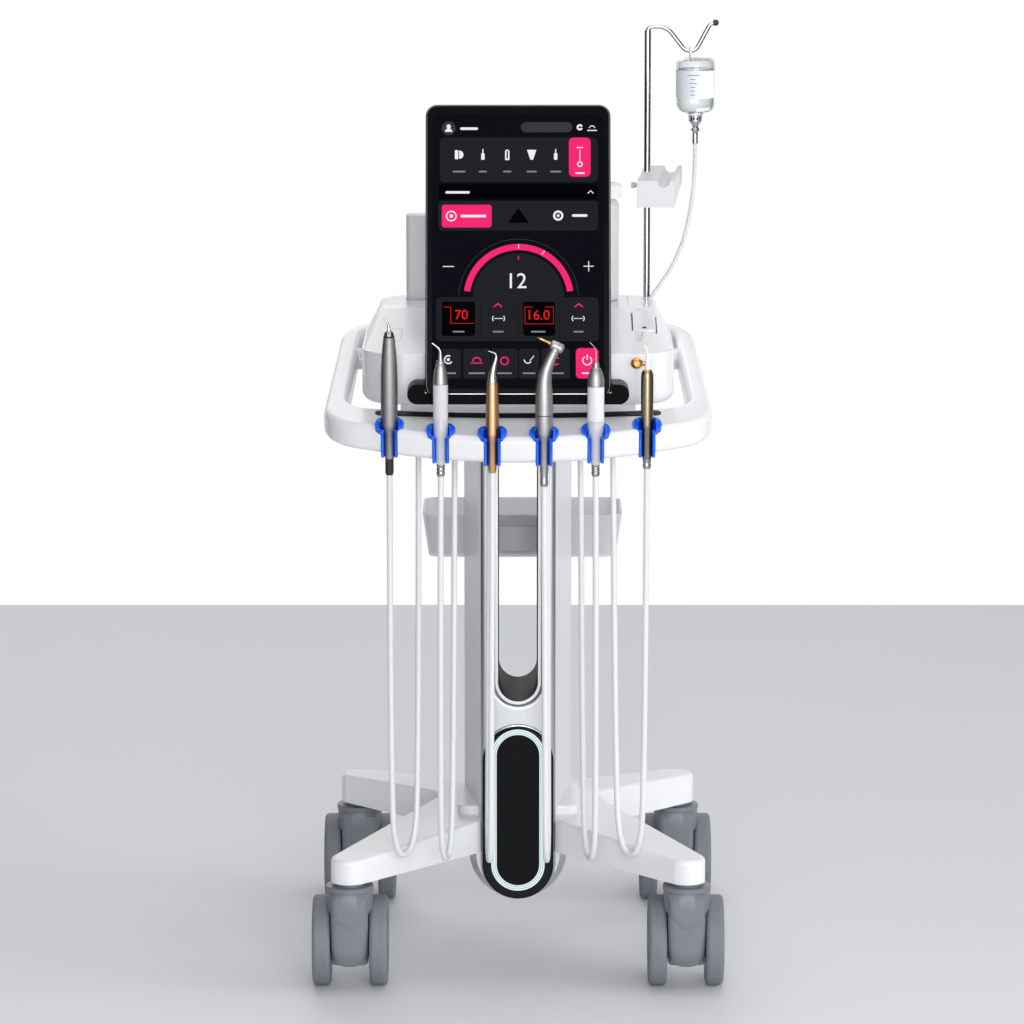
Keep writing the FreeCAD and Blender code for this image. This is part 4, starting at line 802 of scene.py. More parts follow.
class Base(bpy.types.Operator):
    """Finishes of the base and the casters, with caps on the wheel hubs and rounded fronts on the yokes"""

    bl_idname = "cart.base"
    bl_label = "Base and casters"

    def execute(self, context):
        dress(base_frame="shell", caster_stems="steel")
        for corner in ("fl", "fr", "rl", "rr"):
            dress(**{f"caster_yoke_{corner}": "caster_grey", f"caster_wheels_{corner}": "tread"})
            low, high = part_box(f"caster_wheels_{corner}")
            middle = (low + high) / 2
            caps = Form()
            for way, x in ((-RIGHT, low.x), (RIGHT, high.x)):
                caps.turn(HUB_CAP, facing(Vector((x, middle.y, middle.z)), way))
            caps.piece(f"hub_caps_{corner}", ("caster_grey", "boot_black"), f"wheels_{corner}")
            low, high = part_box(f"caster_yoke_{corner}")
            self.front(corner, Vector(((low.x + high.x) / 2, low.y + YOKE_SKIRT * MM, 0)))
        return {"FINISHED"}

    def front(self, corner, swivel):
        """Rounded front of a yoke: a skirt that dips in the middle, a rim under it and a curved foot."""
        loops = []
        for i in range(YOKE_COLUMNS + 1):
            share = 2 * i / YOKE_COLUMNS - 1
            x = YOKE_HALF * share
            dip = YOKE_DIP + 26 * abs(share) ** 2.2
            foot = YOKE_FOOT + 12 * abs(share) ** 3
            face = YOKE_FACE + 1.2 * share ** 2 + 4.5 * share ** 10
            skirt, rim = face - 1.4, face - 0.7
            rows = [(YOKE_TOP, -math.sqrt(YOKE_SKIRT ** 2 - x ** 2)), (YOKE_SHOULDER, skirt),
                    ((YOKE_SHOULDER + dip) / 2, skirt), (dip + 0.3, skirt), (dip - 0.3, rim), (dip - 3, rim)]
            for step in range(FOOT_STEPS + 1):
                z = dip - 3.6 + (foot - dip + 3.6) * step / FOOT_STEPS
                rows.append((z, face + 7 * max(0, 1 - (z - foot) / 16) ** 2))
            loops.append([swivel + millimetres(x, y, z) for z, y in rows]
                         + [swivel + millimetres(x, YOKE_INSIDE, z) for z, _ in reversed(rows)])
        shell = Form()
        shell.loft(loops)
        shell.turn(YOKE_COLLAR, Matrix.Translation(swivel))
        shell.piece(f"yoke_front_{corner}", ("caster_grey",), f"caster_{corner}")


# Steel rim over the light ring: its bow in millimetres and degrees
RIM_RADIUS = 41.6
RIM_Y = -83.7
RIM_Z = 228
RIM_START = 32
RIM_SPAN = 116
RIM_STEPS = 24
# Screws of the socket panel, with the depth of its face
SCREW = ((2.6, -0.5), (2.6, 0.7), (2.1, 1.2), (1.1, 1.3), (1.0, 0.5, 1))
SCREW_INSET = 4
SOCKET_FACE = 50


class Column(bpy.types.Operator):
    """Finishes of the column, its light ring, its black panel and the sockets at its back"""

    bl_idname = "cart.column"
    bl_label = "Column"

    def execute(self, context):
        dress(column_core="column_grey", column_front="column_silver", slot_liner="liner_black",
              panel_bezel="bezel_black", light_ring="halo", front_panel="carbon", power_supply="unit_grey",
              rear_sockets="socket_black", power_switch="boot_black", storage_bin="bin_smoke")
        shares = [i / RIM_STEPS for i in range(RIM_STEPS + 1)]
        angles = [math.radians(RIM_START + RIM_SPAN * share) for share in shares]
        bend = [(RIM_RADIUS * math.cos(a), RIM_Y, RIM_Z + RIM_RADIUS * math.sin(a)) for a in angles]
        radii = [(0.5 + 1.5 * math.sin(math.pi * share) ** 0.5) * MM for share in shares]
        rim = Form()
        rim.sweep([millimetres(*spot) for spot in bend], radii, 14)
        rim.piece("bezel_rim", ("polished_steel",), "cart")
        low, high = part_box("rear_sockets")
        screws = Form()
        for x in (low.x / MM + SCREW_INSET, high.x / MM - SCREW_INSET):
            for z in (low.z / MM + SCREW_INSET, high.z / MM - SCREW_INSET):
                screws.turn(SCREW, facing(millimetres(x, SOCKET_FACE, z), BACK), 24)
        screws.piece("socket_screws", ("steel", "boot_black"), "cart")
        return {"FINISHED"}


# Lids and button of the hood, slits beside the pump door, latch on it, and the outlet's start and bends
LIDS = (rounded(-152, 24, -34, 90, 12), rounded(50, -6, 124, 90, 14), rounded(-141.5, -96, -128.5, -64, 6.5))
SLIT_X = (126.4, 153.6)
SLIT_BACK = -25
SLIT_RUN = 46
SLIT_STEPS = 8
SLIT_WIDTH = 0.0011
LATCH = ((2.3, -0.6), (2.3, 0.25), (1.9, 0.5), (1.1, 0.3), (1.0, 0.0))
LATCH_SPOT = (140, -65)
OUTLET_SPOT = (138, -76)
OUTLET_BENDS = ((0, 2, -1), (0, -3, 1.2), (0, -9, 0.2), (-0.6, -16, -2.5), (-3.5, -21, -3.9))
OUTLET_RADIUS = 0.0011
# Flow valve: its grip and stem, how flat the grip is from front to back, and its axis from the left front
VALVE_GRIP = ((0, -6.8), (2.6, -6.2), (4.4, -4.7), (5.7, -2.2), (5.9, 0.4), (5.1, 3), (3.7, 5), (2.5, 6.6),
              (2.4, 7.8), (3.2, 9.2), (3.1, 10.8), (2.0, 11.8), (0, 12.2))
VALVE_STEM = ((2.9, -4), (2.9, 5))
VALVE_FLAT = 0.7
VALVE_AXIS = (6.2, 4)
# Pad of the deck strip: half its length, its middle from the strip's front, width, rise, bow and round ends
PAD_HALF = 150
PAD_MIDDLE = 5
PAD_WIDTH = 0.013
PAD_PROUD = 0.0005
PAD_BOW = 2640
PAD_END = ((6.5, -0.8), (6.5, 0.3), (6.2, 0.5))
# Right half of a clip's edge, from the foot of its slit to the back of its cup
CLIP_EDGE = ((7.4, -7.0, -33.5), (7.4, -7.0, -22), (7.4, -7.0, -11), (8.6, -8.6, -4.5), (12.4, -9.6, -1.5),
             (15.2, -5.4, 2.4), (13.6, 4.0, 5.6), (8.0, 10.6, 7))
BEAD_RADIUS = 0.0014


class Console(bpy.types.Operator):
    """Finishes of the console with its lids, pump door, clips, deck strip and valve"""

    bl_idname = "cart.console"
    bl_label = "Console"

    def execute(self, context):
        dress(console_ring="shell", housing_lower="shell", housing_hood="shell", console_underpan="shell",
              pump_door="shell", deck_strip="strip_rubber", handpiece_clips="clip_blue",
              pump_motor="unit_grey", pump_rotor="unit_grey")
        self.clips()
        self.strip()
        self.lids(context.scene.cart_sizes.seam)
        self.pump()
        self.valve()
        return {"FINISHED"}

    def lids(self, width):
        """Gaps round the lids and the button of the hood, drawn as grey strips of painted shade."""
        lids = Form()
        for outline in LIDS:
            lids.seam([straight_under("housing_hood", x, y) for x, y in outline], width)
        lids.piece("hood_lids", ("seam_grey",), "cart")

    def pump(self):
        """Slits beside the pump door, drawn as dark strips of painted shade, its latch and the thin outlet in
        front of it.
        """
        slits = Form()
        for x in SLIT_X:
            depths = [SLIT_BACK - SLIT_RUN * step / SLIT_STEPS for step in range(SLIT_STEPS + 1)]
            slits.seam([straight_under("housing_hood", x, y) for y in depths], SLIT_WIDTH, closed=False)
        slits.piece("door_slits", ("seam_black",), "cart")
        pin = Form()
        pin.turn(LATCH, facing(*straight_under("pump_door", *LATCH_SPOT)), 32)
        pin.piece("door_latch", ("seam_black",), "pump_door")
        spot, _ = straight_under("housing_hood", *OUTLET_SPOT)
        outlet = Form()
        outlet.sweep(smooth_line([spot + millimetres(*bend) for bend in OUTLET_BENDS]), OUTLET_RADIUS, 12)
        outlet.piece("pump_outlet", ("outlet_cream",), "cart")

    def valve(self):
        """Flattened grip of the flow valve across its stem."""
        low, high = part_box("flow_valve")
        axis = Vector((low.x, low.y, (low.z + high.z) / 2)) + millimetres(*VALVE_AXIS, 0)
        flat = Matrix.Diagonal((1, VALVE_FLAT, 1, 1)) @ facing(Vector(), RIGHT)
        valve = Form()
        valve.turn(VALVE_GRIP, Matrix.Translation(axis) @ flat, 40)
        valve.turn(VALVE_STEM, facing(axis, BACK), 24)
        valve.piece("valve_grip", ("brass",), "flow_valve", ("flow_valve",), crease=50)

    def strip(self):
        """Soft pad along the dark strip of the deck, with round ends."""
        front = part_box("deck_strip")[0].y / MM
        spots = [straight_under("deck_strip", x, front + PAD_MIDDLE + x ** 2 / PAD_BOW)
                 for x in range(-PAD_HALF, PAD_HALF + 1, 10)]
        pad = Form()
        pad.seam(spots, PAD_WIDTH, closed=False, proud=PAD_PROUD)
        for spot, normal in (spots[0], spots[-1]):
            pad.turn(PAD_END, facing(spot, normal), 40)
        pad.piece("strip_pad", ("strip_rubber",), "cart")

    def clips(self):
        """Rounded bead along the edge of each clip: up one side of its slit, round the cup and down."""
        points = [*CLIP_EDGE, *[(-x, y, z) for x, y, z in reversed(CLIP_EDGE)]]
        beads = Form()
        for tool in PLUGS:
            beads.sweep(smooth_line([seat(tool) + millimetres(*point) for point in points]), BEAD_RADIUS, 12)
        beads.piece("clip_beads", ("clip_blue",), "cart")


# Neck of every handpiece between its plug and its body: rows of radius and height
NECK = ((4.6, -36), (5.6, -33), (5.6, -7.72))
PLUG_RADIUS = 4.6
PLUG_GROOVE = 4.1
PLUG_FOOT = 3.68


def ribbed(low, high, look, count):
    """Plug of a handpiece with rings round it, tapered at its lower end."""
    rows = [(PLUG_FOOT, low, look), (PLUG_RADIUS, low + 3, look)]
    step = (high - low - 5) / max(count, 1)
    for i in range(count):
        z = low + 4 + i * step
        rows += [(PLUG_RADIUS, z, look), (PLUG_GROOVE, z + 0.25 * step, look),
                 (PLUG_GROOVE, z + 0.5 * step, look), (PLUG_RADIUS, z + 0.75 * step, look)]
    return rows


# Each handpiece body above its plug: finishes, then the plug's look, its rings and the neck's look, and then
# rows of radius, height and any look
BODIES = {
    "scaler": (("satin_grey", "boot_black", "polished_steel"), (1, 0, 0), (
        (8.4, -3.4), (9.2, 2), (9.2, 54), (8.8, 66), (8.0, 79), (6.9, 90), (6.2, 96.4), (5.9, 96.9, 1),
        (5.9, 98.4, 1), (5.7, 98.8, 2), (5.3, 101, 2), (4.2, 103, 2), (2.9, 104.4, 2))),
    "syringe": (("soft_white", "satin_silver", "connector_grey", "pale_grey"), (2, 2, 3), (
        (8.1, -3.86, 3), (8.1, 2, 3), (8.1, 13.6, 3), (7.9, 13.9), (7.9, 14.4), (8.1, 14.7), (8.1, 51.3),
        (7.75, 51.7, 1), (7.75, 52.4, 1), (8.1, 52.8, 1), (7.95, 57, 1), (7.4, 62.5, 1), (6.5, 68, 1),
        (5.4, 72, 1), (4.9, 73.4, 1), (4.2, 73.8, 1), (4.2, 74.6, 1), (4.6, 75, 1), (4.6, 77.2, 1),
        (4.0, 78, 1))),
    "plugger": (("copper", "gold", "polished_steel"), (1, 0, 0), (
        (7.3, -5.1), (7.3, 2), (7.3, 18), (7.0, 36), (6.5, 50), (6.2, 57), (5.9, 57.4, 2), (5.9, 58.2, 2),
        (5.7, 60, 2), (5.0, 64, 2))),
    "contra": (("satin_silver", "boot_black", "connector_grey"), (2, 1, 0), (
        (8.4, -3.4), (9.6, 2), (9.7, 20.4), (9.4, 20.7, 1), (9.4, 21.3, 1), (9.7, 21.6), (9.6, 34),
        (9.3, 44), (8.8, 51), (8.4, 55))),
    "injector": (("white_ceramic", "satin_silver", "pale_grey", "connector_grey"), (3, 3, 2), (
        (8.4, -3.4, 2), (9.2, 2, 2), (9.2, 11.4, 2), (8.95, 11.7, 2), (8.95, 12.2), (9.2, 12.5),
        (9.2, 49.2), (8.85, 49.6, 1), (8.85, 50.3, 1), (9.25, 50.7, 1), (9.2, 55, 1), (8.6, 60, 1),
        (7.2, 65, 1), (5.2, 69, 1), (4.6, 69.8, 1), (3.6, 70.1, 1), (3.5, 73.5, 1), (2.9, 76.4, 1),
        (2.4, 77, 1))),
    "laser": (("champagne", "connector_grey", "gold"), (1, 1, 0), (
        (6.8, -5.87), (6.8, 2), (6.8, 53), (6.5, 57), (5.8, 59.8, 2), (4.8, 61.4, 2), (4.2, 62, 2))),
}
# Working ends from the top of the nose: finish, points, and radius at each end of the line
TIPS = {
    "scaler": ("polished_steel", ((0, 0, -1), (0, 0, 3), (0, 0, 9), (-4, 0, 17), (-10, 0, 22), (-17, 0, 24)),
               (2.4, 0.5)),
    "syringe": ("polished_steel", ((0, 0, -1), (0, 0, 4), (0, 0, 10), (-2, 0, 14), (-9, 0, 19)), (2.8, 0.9)),
    "plugger": ("polished_steel", ((0, 0, -1), (1, 0, 8), (3.4, 0, 16), (4.6, 0, 22), (3, 0, 25.4),
                                   (-4, 0, 27)), (4.9, 0.5)),
    "contra": ("satin_silver", ((0, 0, -1), (0.6, 0, 10), (4.2, 0, 21), (9, 0, 32), (13.5, 0, 41)),
               (8.4, 5.2)),
    "injector": ("polished_steel", ((0, 0, -1), (0, 0, 6), (0, 0, 11), (-2, 0, 17), (-7, 0, 21)),
                 (0.75, 0.4)),
    "laser": ("tip_white", ((0, 0, -1), (0, 0, 9), (0, 0, 17), (-0.8, 0, 23), (-4, 0, 27)), (2.7, 1.1)),
}
NOSES = {"scaler": 101, "syringe": 78, "plugger": 64, "contra": 55, "injector": 77, "laser": 62}
# Head of the fourth handpiece, its file at the end, and how it is set on the neck
CONTRA_HEAD = ((0, -0.9), (2.8, -0.7), (4.5, 0.1), (5.3, 1.4), (5.6, 3.2), (5.6, 5.4), (5.3, 5.6, 2),
               (5.3, 6.0, 2), (5.6, 6.2), (5.5, 11), (5.0, 13.4), (3.9, 14.8), (2.0, 15.4), (1.8, 15.5, 1),
               (1.7, 18, 1), (1.3, 18.4, 1), (1.3, 27.5, 1), (0.45, 28.2, 1), (0.3, 30.5, 2))
HEAD_RISE = math.radians(26)
HEAD_BACK = 7.5


def seat(tool):
    """Point on a clip's axis at the deck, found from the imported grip."""
    low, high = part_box(f"grip_{tool}")
    return Vector(((low.x + high.x) / 2, (low.y + high.y) / 2, low.z - PLUGS[tool][0] * MM))


def thinning(line, start, stop):
    """Radii that thin quickly at the foot of a line and slowly after it."""
    last = len(line) - 1
    return [(stop + (start - stop) * (1 - i / last) ** 1.6) * MM for i in range(last + 1)]


class Handpieces(bpy.types.Operator):
    """Six handpieces: turned bodies with plugs, rings and noses, and their bent working ends"""

    bl_idname = "cart.handpieces"
    bl_label = "Handpieces"

    def execute(self, context):
        for tool, (finishes, (plug_look, rings, neck_look), rows) in BODIES.items():
            spot = seat(tool)
            place = Matrix.Translation(spot)
            grip = Form()
            plug = ribbed(PLUGS[tool][0], NECK[0][1], plug_look, rings)
            neck = [(radius, height, neck_look) for radius, height in NECK]
            grip.turn([*plug, *neck, *rows], place, 64)
            grip.piece(f"body_{tool}", finishes, f"handpiece_{tool}", replaces=(f"grip_{tool}",), crease=40)
            self.working_end(tool, spot + millimetres(0, 0, NOSES[tool]))
        return {"FINISHED"}

    def working_end(self, tool, nose):
        """Bent end of a handpiece from its nose, with a head on the fourth."""
        name, points, (start, stop) = TIPS[tool]
        line = smooth_line([nose + millimetres(*point) for point in points], 10)
        end = Form()
        end.sweep(line, thinning(line, start, stop), 20)
        finishes = (name,)
        if tool == "contra":
            finishes = (name, "gold", "connector_grey")
            way = Vector((-math.cos(HEAD_RISE), 0, math.sin(HEAD_RISE)))
            end.turn(CONTRA_HEAD, facing(line[-1] - way * HEAD_BACK * MM, way), 40)
        end.piece(f"end_{tool}", finishes, f"handpiece_{tool}", replaces=(f"tip_{tool}",), crease=50)


class Hoses(bpy.types.Operator):
    """Six hanging hoses, each from a handpiece down to its loop and back up into the pan"""

    bl_idname = "cart.hoses"
    bl_label = "Hoses"

    def execute(self, context):
        diameter = context.scene.cart_sizes.hose
        for tool, (plug_low, return_x) in PLUGS.items():
            start = seat(tool) + millimetres(0, 0, plug_low - HOSE_GAP)
            first, second = (millimetres(*low) for low in LOOPS[tool])
            end = millimetres(return_x, HOSE_END_Y, HOSE_END_Z)
            # Each loop narrows towards its foot, from points part of the way up its strands
            above_first = first + (start - first).normalized() * LOOP_RISE
            above_second = second + (end - second).normalized() * LOOP_RISE
            nearer = (second - first) * LOOP_PINCH
            line = smooth_line([start, above_first, first + nearer, second - nearer, above_second, end], 24)
            hose = Form()
            hose.sweep(line, diameter / 2, 18)
            made = hose.piece(f"hanging_hose_{tool}", ("hose_silicone",),
                              replaces=(f"hose_{tool}",))
            slant = Vector((0, -math.cos(HOSE_SLANT), math.sin(HOSE_SLANT)))
            second + slant * (start - second).dot(slant)
            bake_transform(made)
        return {"FINISHED"}


# The display's picture in millimetres across from the middle and up from the hinge line
UI_PANELS = ((-85.9, 232.6, 87.5, 282.1, 5), (-87.3, 178.8, 87.4, 211.7, 4), (-89.9, 56.3, 88.2, 104.8, 5))
UI_TILES = ((-84.9, -62.4), (-60.0, -30.5), (-29.4, -0.3), (0.8, 23.0), (25.6, 56.5))
TILE_LOW = 15.3
TILE_HIGH = 48.0
UI_FIELDS = ((3.0, 288.0, 59.4, 299.2, 5.6), (-83.8, 284.8, -68.6, 300.0, 7.6))
UI_SQUARES = ((-83.4, 62.2, -47.1, 100.0, 3), (5.6, 62.2, 40.3, 100.0, 3), (-86.9, 213.2, 86.8, 230.2, 4))
UI_BUTTONS = ((55.7, 238.5, 79.5, 282.1, 5), (-83.6, 182.1, -29.0, 207.3, 3), (63.0, 15.3, 87.7, 48.7, 4.5))
UI_LABELS = ((-64.8, 244.2, 14), (-38.6, 244.2, 9), (-11.9, 244.2, 9), (14.9, 244.2, 11), (41.2, 244.2, 12),
             (-65.0, 66.8, 13), (-21.6, 66.8, 12), (22.0, 66.8, 16), (66.0, 66.8, 11), (-45.2, 21.0, 18),
             (-14.9, 21.0, 16), (11.9, 21.0, 14), (41.0, 21.0, 18), (-73.6, 21.0, 12))
DIAL = (0.5, 103.7)
# Bright line along the cradle, and a place in front of it
LINE_HALF = 78
LINE_Z = 659.6
LINE_WIDTH = 0.0009
IN_FRONT = -400
# The picture starts a little under the glass and each layer stands a little over the one before
UI_UNDER = -0.06
UI_OVER = 0.06
UI_LAYER = 0.07


def screen_place():
    """Placement on the screen's face, with X across, Y up and Z out of it."""
    up = Vector((0, math.sin(SCREEN_LEAN), math.cos(SCREEN_LEAN)))
    out = Vector((0, -math.cos(SCREEN_LEAN), math.sin(SCREEN_LEAN)))
    origin = millimetres(0, HINGE_Y, HINGE_Z) + out * SCREEN_FACE * MM
    return Matrix.Translation(origin) @ Matrix((RIGHT, up, out)).transposed().to_4x4()


class Screen(bpy.types.Operator):
    """Tablet with its picture: panels, buttons, dial, symbols and numbers"""

    bl_idname = "cart.screen"
    bl_label = "Screen"

    def execute(self, context):
        dress(screen_case="case_edge", screen_glass="glass_black", screen_cradle="cradle_black",
              screen_hinge="steel")
        self.place = screen_place()
        self.panels()
        self.accents()
        self.marks()
        line = Form()
        line.seam([on_node("screen_cradle", millimetres(x, IN_FRONT, LINE_Z), BACK)
                   for x in range(-LINE_HALF, LINE_HALF + 1, 12)], LINE_WIDTH, closed=False)
        line.piece("cradle_line", ("polished_steel",), "cart")
        return {"FINISHED"}

    def plate(self, form, outline, level, look=0):
        """Flat shape of the picture on one of its layers."""
        form.slab(outline, UI_UNDER, UI_OVER + UI_LAYER * level, self.place, look)

    def boxes(self, form, boxes, level, look=0):
        """Rounded boxes of the picture, from their sides and the radius of their corners."""
        for box in boxes:
            self.plate(form, rounded(*box), level, look)

    def panels(self):
        """Dark ground, panels, tiles and fields."""
        form = Form()
        self.plate(form, rounded(-94, 4, 94, 308, 9), 0, 3)
        self.boxes(form, UI_PANELS, 1)
        self.boxes(form, [(left, TILE_LOW, right, TILE_HIGH, 3) for left, right in UI_TILES], 1)
        self.boxes(form, UI_FIELDS, 1, 1)
        self.boxes(form, UI_SQUARES, 2, 2)
        self.plate(form, [(0.4, 204), (-11.1, 187.1), (12.1, 187.1)], 2, 2)
        self.plate(form, bow(*DIAL, 65.2, 65.8, 3, 177), 1, 1)
        self.plate(form, bow(*DIAL, 1, 50, 1, 179), 1)
        for x in (-40.8, -0.4, 45.6):
            self.plate(form, bar(x, 61, x, 100, 0.4), 2, 2)
        form.piece("display_panels", ("ui_panel", "ui_field", "ui_dark", "ui_back"), "screen")

    def accents(self):
        """Buttons, the dial's bow, coloured strokes and numbers."""
        form = Form()
        self.boxes(form, UI_BUTTONS, 3)
        self.plate(form, bow(*DIAL, 53.4, 60.2, 8, 172), 2)
        self.plate(form, bar(0.4, 147, 0.4, 150, 1.1), 3)
        for x in (-22.1, 66.3):
            self.plate(form, bar(x - 4, 94.5, x, 97.8, 1.3), 3)
            self.plate(form, bar(x, 97.8, x + 4, 94.5, 1.3), 3)
        self.plate(form, bow(-45.2, 34, 3.6, 5.0, 0, 180, 20), 3)
        self.plate(form, bar(-51, 32.2, -39.4, 32.2, 1.2), 3)
        self.plate(form, ring(-14.9, 34.5, 3.4, 4.8), 3)
        self.plate(form, bow(41, 34.5, 3.4, 4.8, 40, 320, 28), 3)
        for points in (((-81.3, 94.1), (-73.7, 94.1), (-73.7, 76.0), (-48.4, 76.0)),
                       ((15.9, 94.1), (7.4, 94.1), (7.4, 75.5), (38.6, 75.5), (38.6, 94.1), (29.6, 94.1))):
            for (x0, y0), (x1, y1) in zip(points, points[1:]):
                self.plate(form, bar(x0, y0, x1, y1, 0.5), 3, 1)
        form.words("70", -62.0, 85.6, 10.5, UI_UNDER, 0.3, self.place, 1)
        form.words("16.0", 23.0, 85.4, 10.7, UI_UNDER, 0.3, self.place, 1)
        form.piece("display_accents", ("ui_accent", "ui_digits"), "screen")

    def marks(self):
        """White symbols, plain bars for words and the dial's number."""
        form = Form()
        for outline in self.symbols():
            self.plate(form, outline, 5)
        for x, y, width in UI_LABELS:
            self.plate(form, rounded(x - width / 2, y - 0.9, x + width / 2, y + 0.9, 0.9), 5, 1)
        form.words("12", 0.0, 123.2, 16.5, UI_UNDER, 0.4, self.place)
        form.piece("display_marks", ("ui_white", "ui_grey"), "screen")

    def symbols(self):
        """Outlines of the white symbols and strokes."""
        found = [rounded(-69.4, 258, -65.6, 268, 0.8), bow(-64.6, 263, 0, 4.6, -90, 90, 16)]
        for x in (-38.6, 41.2):
            found += [rounded(x - 1.9, 257.4, x + 1.9, 264.6, 0.8),
                      rounded(x - 0.6, 263.5, x + 0.6, 269.4, 0.5)]
        found += [bow(-11.9, 266.2, 1.0, 2.4, 0, 180, 16), rounded(-14.3, 257.4, -12.7, 266.4, 0.6),
                  rounded(-11.1, 257.4, -9.5, 266.4, 0.6), rounded(-14.3, 257.0, -9.5, 258.6, 0.8)]
        found.append([(9.8, 268.4), (13.4, 257.4), (16.4, 257.4), (20.0, 268.4)])
        found += [ring(67.7, 252.4, 1.9, 3.1), bar(67.7, 256, 67.7, 268, 0.9),
                  bar(64.6, 271, 70.8, 271, 1.0), rounded(62.5, 241.6, 73.0, 243.4, 0.9)]
        found += [bow(67.7, 293.5, 1.4, 3.4, 20, 340, 24), bar(76.4, 290.0, 86.0, 290.0, 1.1),
                  bow(81.2, 292.2, 2.6, 3.5, 10, 170, 16), dot(-76.2, 294.4, 2.3),
                  bow(-76.2, 288.4, 0, 4.0, 0, 180, 20), rounded(-63.6, 290.6, -44.0, 293.4, 1.4)]
        found += [bar(76.6, 220.2, 79.5, 223.0, 0.9), bar(79.5, 223.0, 82.4, 220.2, 0.9),
                  rounded(-79.7, 219.8, -53.0, 222.4, 1.3)]
        found += [ring(-73.2, 194.8, 4.6, 5.9), dot(-73.2, 194.8, 2.0),
                  rounded(-63.0, 193.4, -35.0, 196.2, 1.4), ring(43.9, 195.3, 3.4, 5.6),
                  dot(43.9, 195.3, 1.6), rounded(59.0, 194.0, 76.0, 196.8, 1.4)]
        found += [bar(-82.0, 138.9, -70.7, 138.9, 0.9), bar(72.0, 139.2, 82.4, 139.2, 0.9),
                  bar(77.2, 134.0, 77.2, 144.4, 0.9)]
        found += [bar(0.5, 159.4, 0.5, 163.2, 0.7), bar(26.4, 152.6, 28.6, 156.0, 0.8)]
        for x in (-21.4, 65.6):
            found += [bar(x - 4.6, 81.4, x + 4.6, 81.4, 0.7), bow(x - 3.2, 81.4, 3.0, 3.9, 130, 230, 10),
                      bow(x + 3.2, 81.4, 3.0, 3.9, -50, 50, 10)]
        found += [bow(-76.2, 36.0, 3.6, 5.0, 60, 330, 24), dot(-76.2, 36.0, 1.7)]
        found += [bow(10.6, 36.0, 3.4, 4.5, 180, 330, 20), bar(13.0, 35.0, 17.0, 40.0, 0.9)]
        found += [bow(75.4, 35.0, 4.2, 5.4, 125, 415, 28), bar(75.4, 36.5, 75.4, 41.0, 1.2),
                  rounded(69.5, 20.2, 81.3, 21.8, 0.8)]
        return found


def shell_rows(outer, wall):
    """Closed wall of a bottle: from its closed end along the outside, and back along the inside."""
    last = len(outer) - 1
    turned_up = 1 if outer[last][1] > outer[0][1] else -1
    inner = []
    for i, (radius, height) in enumerate(outer):
        ahead, behind = outer[min(i + 1, last)], outer[max(i - 1, 0)]
        way = Vector((ahead[0] - behind[0], ahead[1] - behind[1])).normalized() * wall * turned_up
        inner.append((radius - way.y if radius else 0, height + way.x))
    return [*outer, *reversed(inner)]


# Drip bottle from its top down, its liquid under the level, and the fitting below it
BOTTLE_TALL = 65
BOTTLE_WALL = 1.3
BOTTLE = ((0, BOTTLE_TALL), (12, 64.9), (18.2, 64.2), (20.8, 62), (21.8, 58.6), (21.8, 13.4), (21.3, 10),
          (19.6, 6.8), (16.4, 4.6), (11.6, 3.2), (9.0, 2.2), (9.0, 0.2))
LIQUID = ((20.45, 13.4), (20.0, 10.3), (18.5, 7.6), (15.8, 5.8), (11, 4.4), (7.6, 3), (7.6, 0.4), (0, 0.4))
FITTING = ((7.2, -0.2), (7.4, -1), (7.4, -2.2), (6.4, -2.8, 1), (6.4, -3.8, 1), (7.4, -4.4), (7.4, -6.4),
           (6.6, -7.4), (4.4, -10), (3.4, -12), (3.2, -13), (4.4, -14.4), (4.9, -16), (4.4, -17.8),
           (3.2, -19), (3.0, -19.6, 1), (3.2, -20.4), (3.2, -31.6), (2.8, -32))
FITTING_TEETH = 12
TOOTH = rounded(-0.6, -1, 0.8, 1, 0.4, 2)
# Label: inner and outer radius with the angles it runs between, and its lower and upper edge
LABEL = (21.86, 22.0, 165, 375)
LABEL_EDGES = (20.5, 51.5)
# Plain bars on the label: inner and outer radius, height of the first, step and thickness, and, in degrees,
# the line they lie about and how far each reaches to one side
BAR_RADII = (21.9, 22.08)
BAR_FIRST = 46.5
BAR_STEP = 4.4
BAR_THICK = 0.8
BAR_ANGLE = 258
BAR_WIDTHS = (14, 6, 9, 5, 5, 5)
# Eye of the bottle's hanger, and the points of its root from the eye's middle
EYE_RADIUS = 6.4
EYE_STEPS = 40
EYE_THICK = 0.0013
ROOT_THICK = 0.0012
HANGER_ROOT = ((0, 5.4, -3.4), (0.5, 6.4, -6), (1.5, 7.4, -8.4))
# Black end of the pole's arm, and the holder on the pole with its screw
ARM_END = ((2.5, -6), (3.3, -5.4), (3.5, -2.6), (3.0, -0.6), (1.6, 0.3), (0, 0.5))
ARM_RADIUS = 3.2
HOLDER_TALL = 30
HOLDER_SCREW = ((2.4, 0, 1), (3.4, 0.6, 1), (3.4, 4.6, 1), (2.2, 5.4, 1), (2.2, 10, 1))


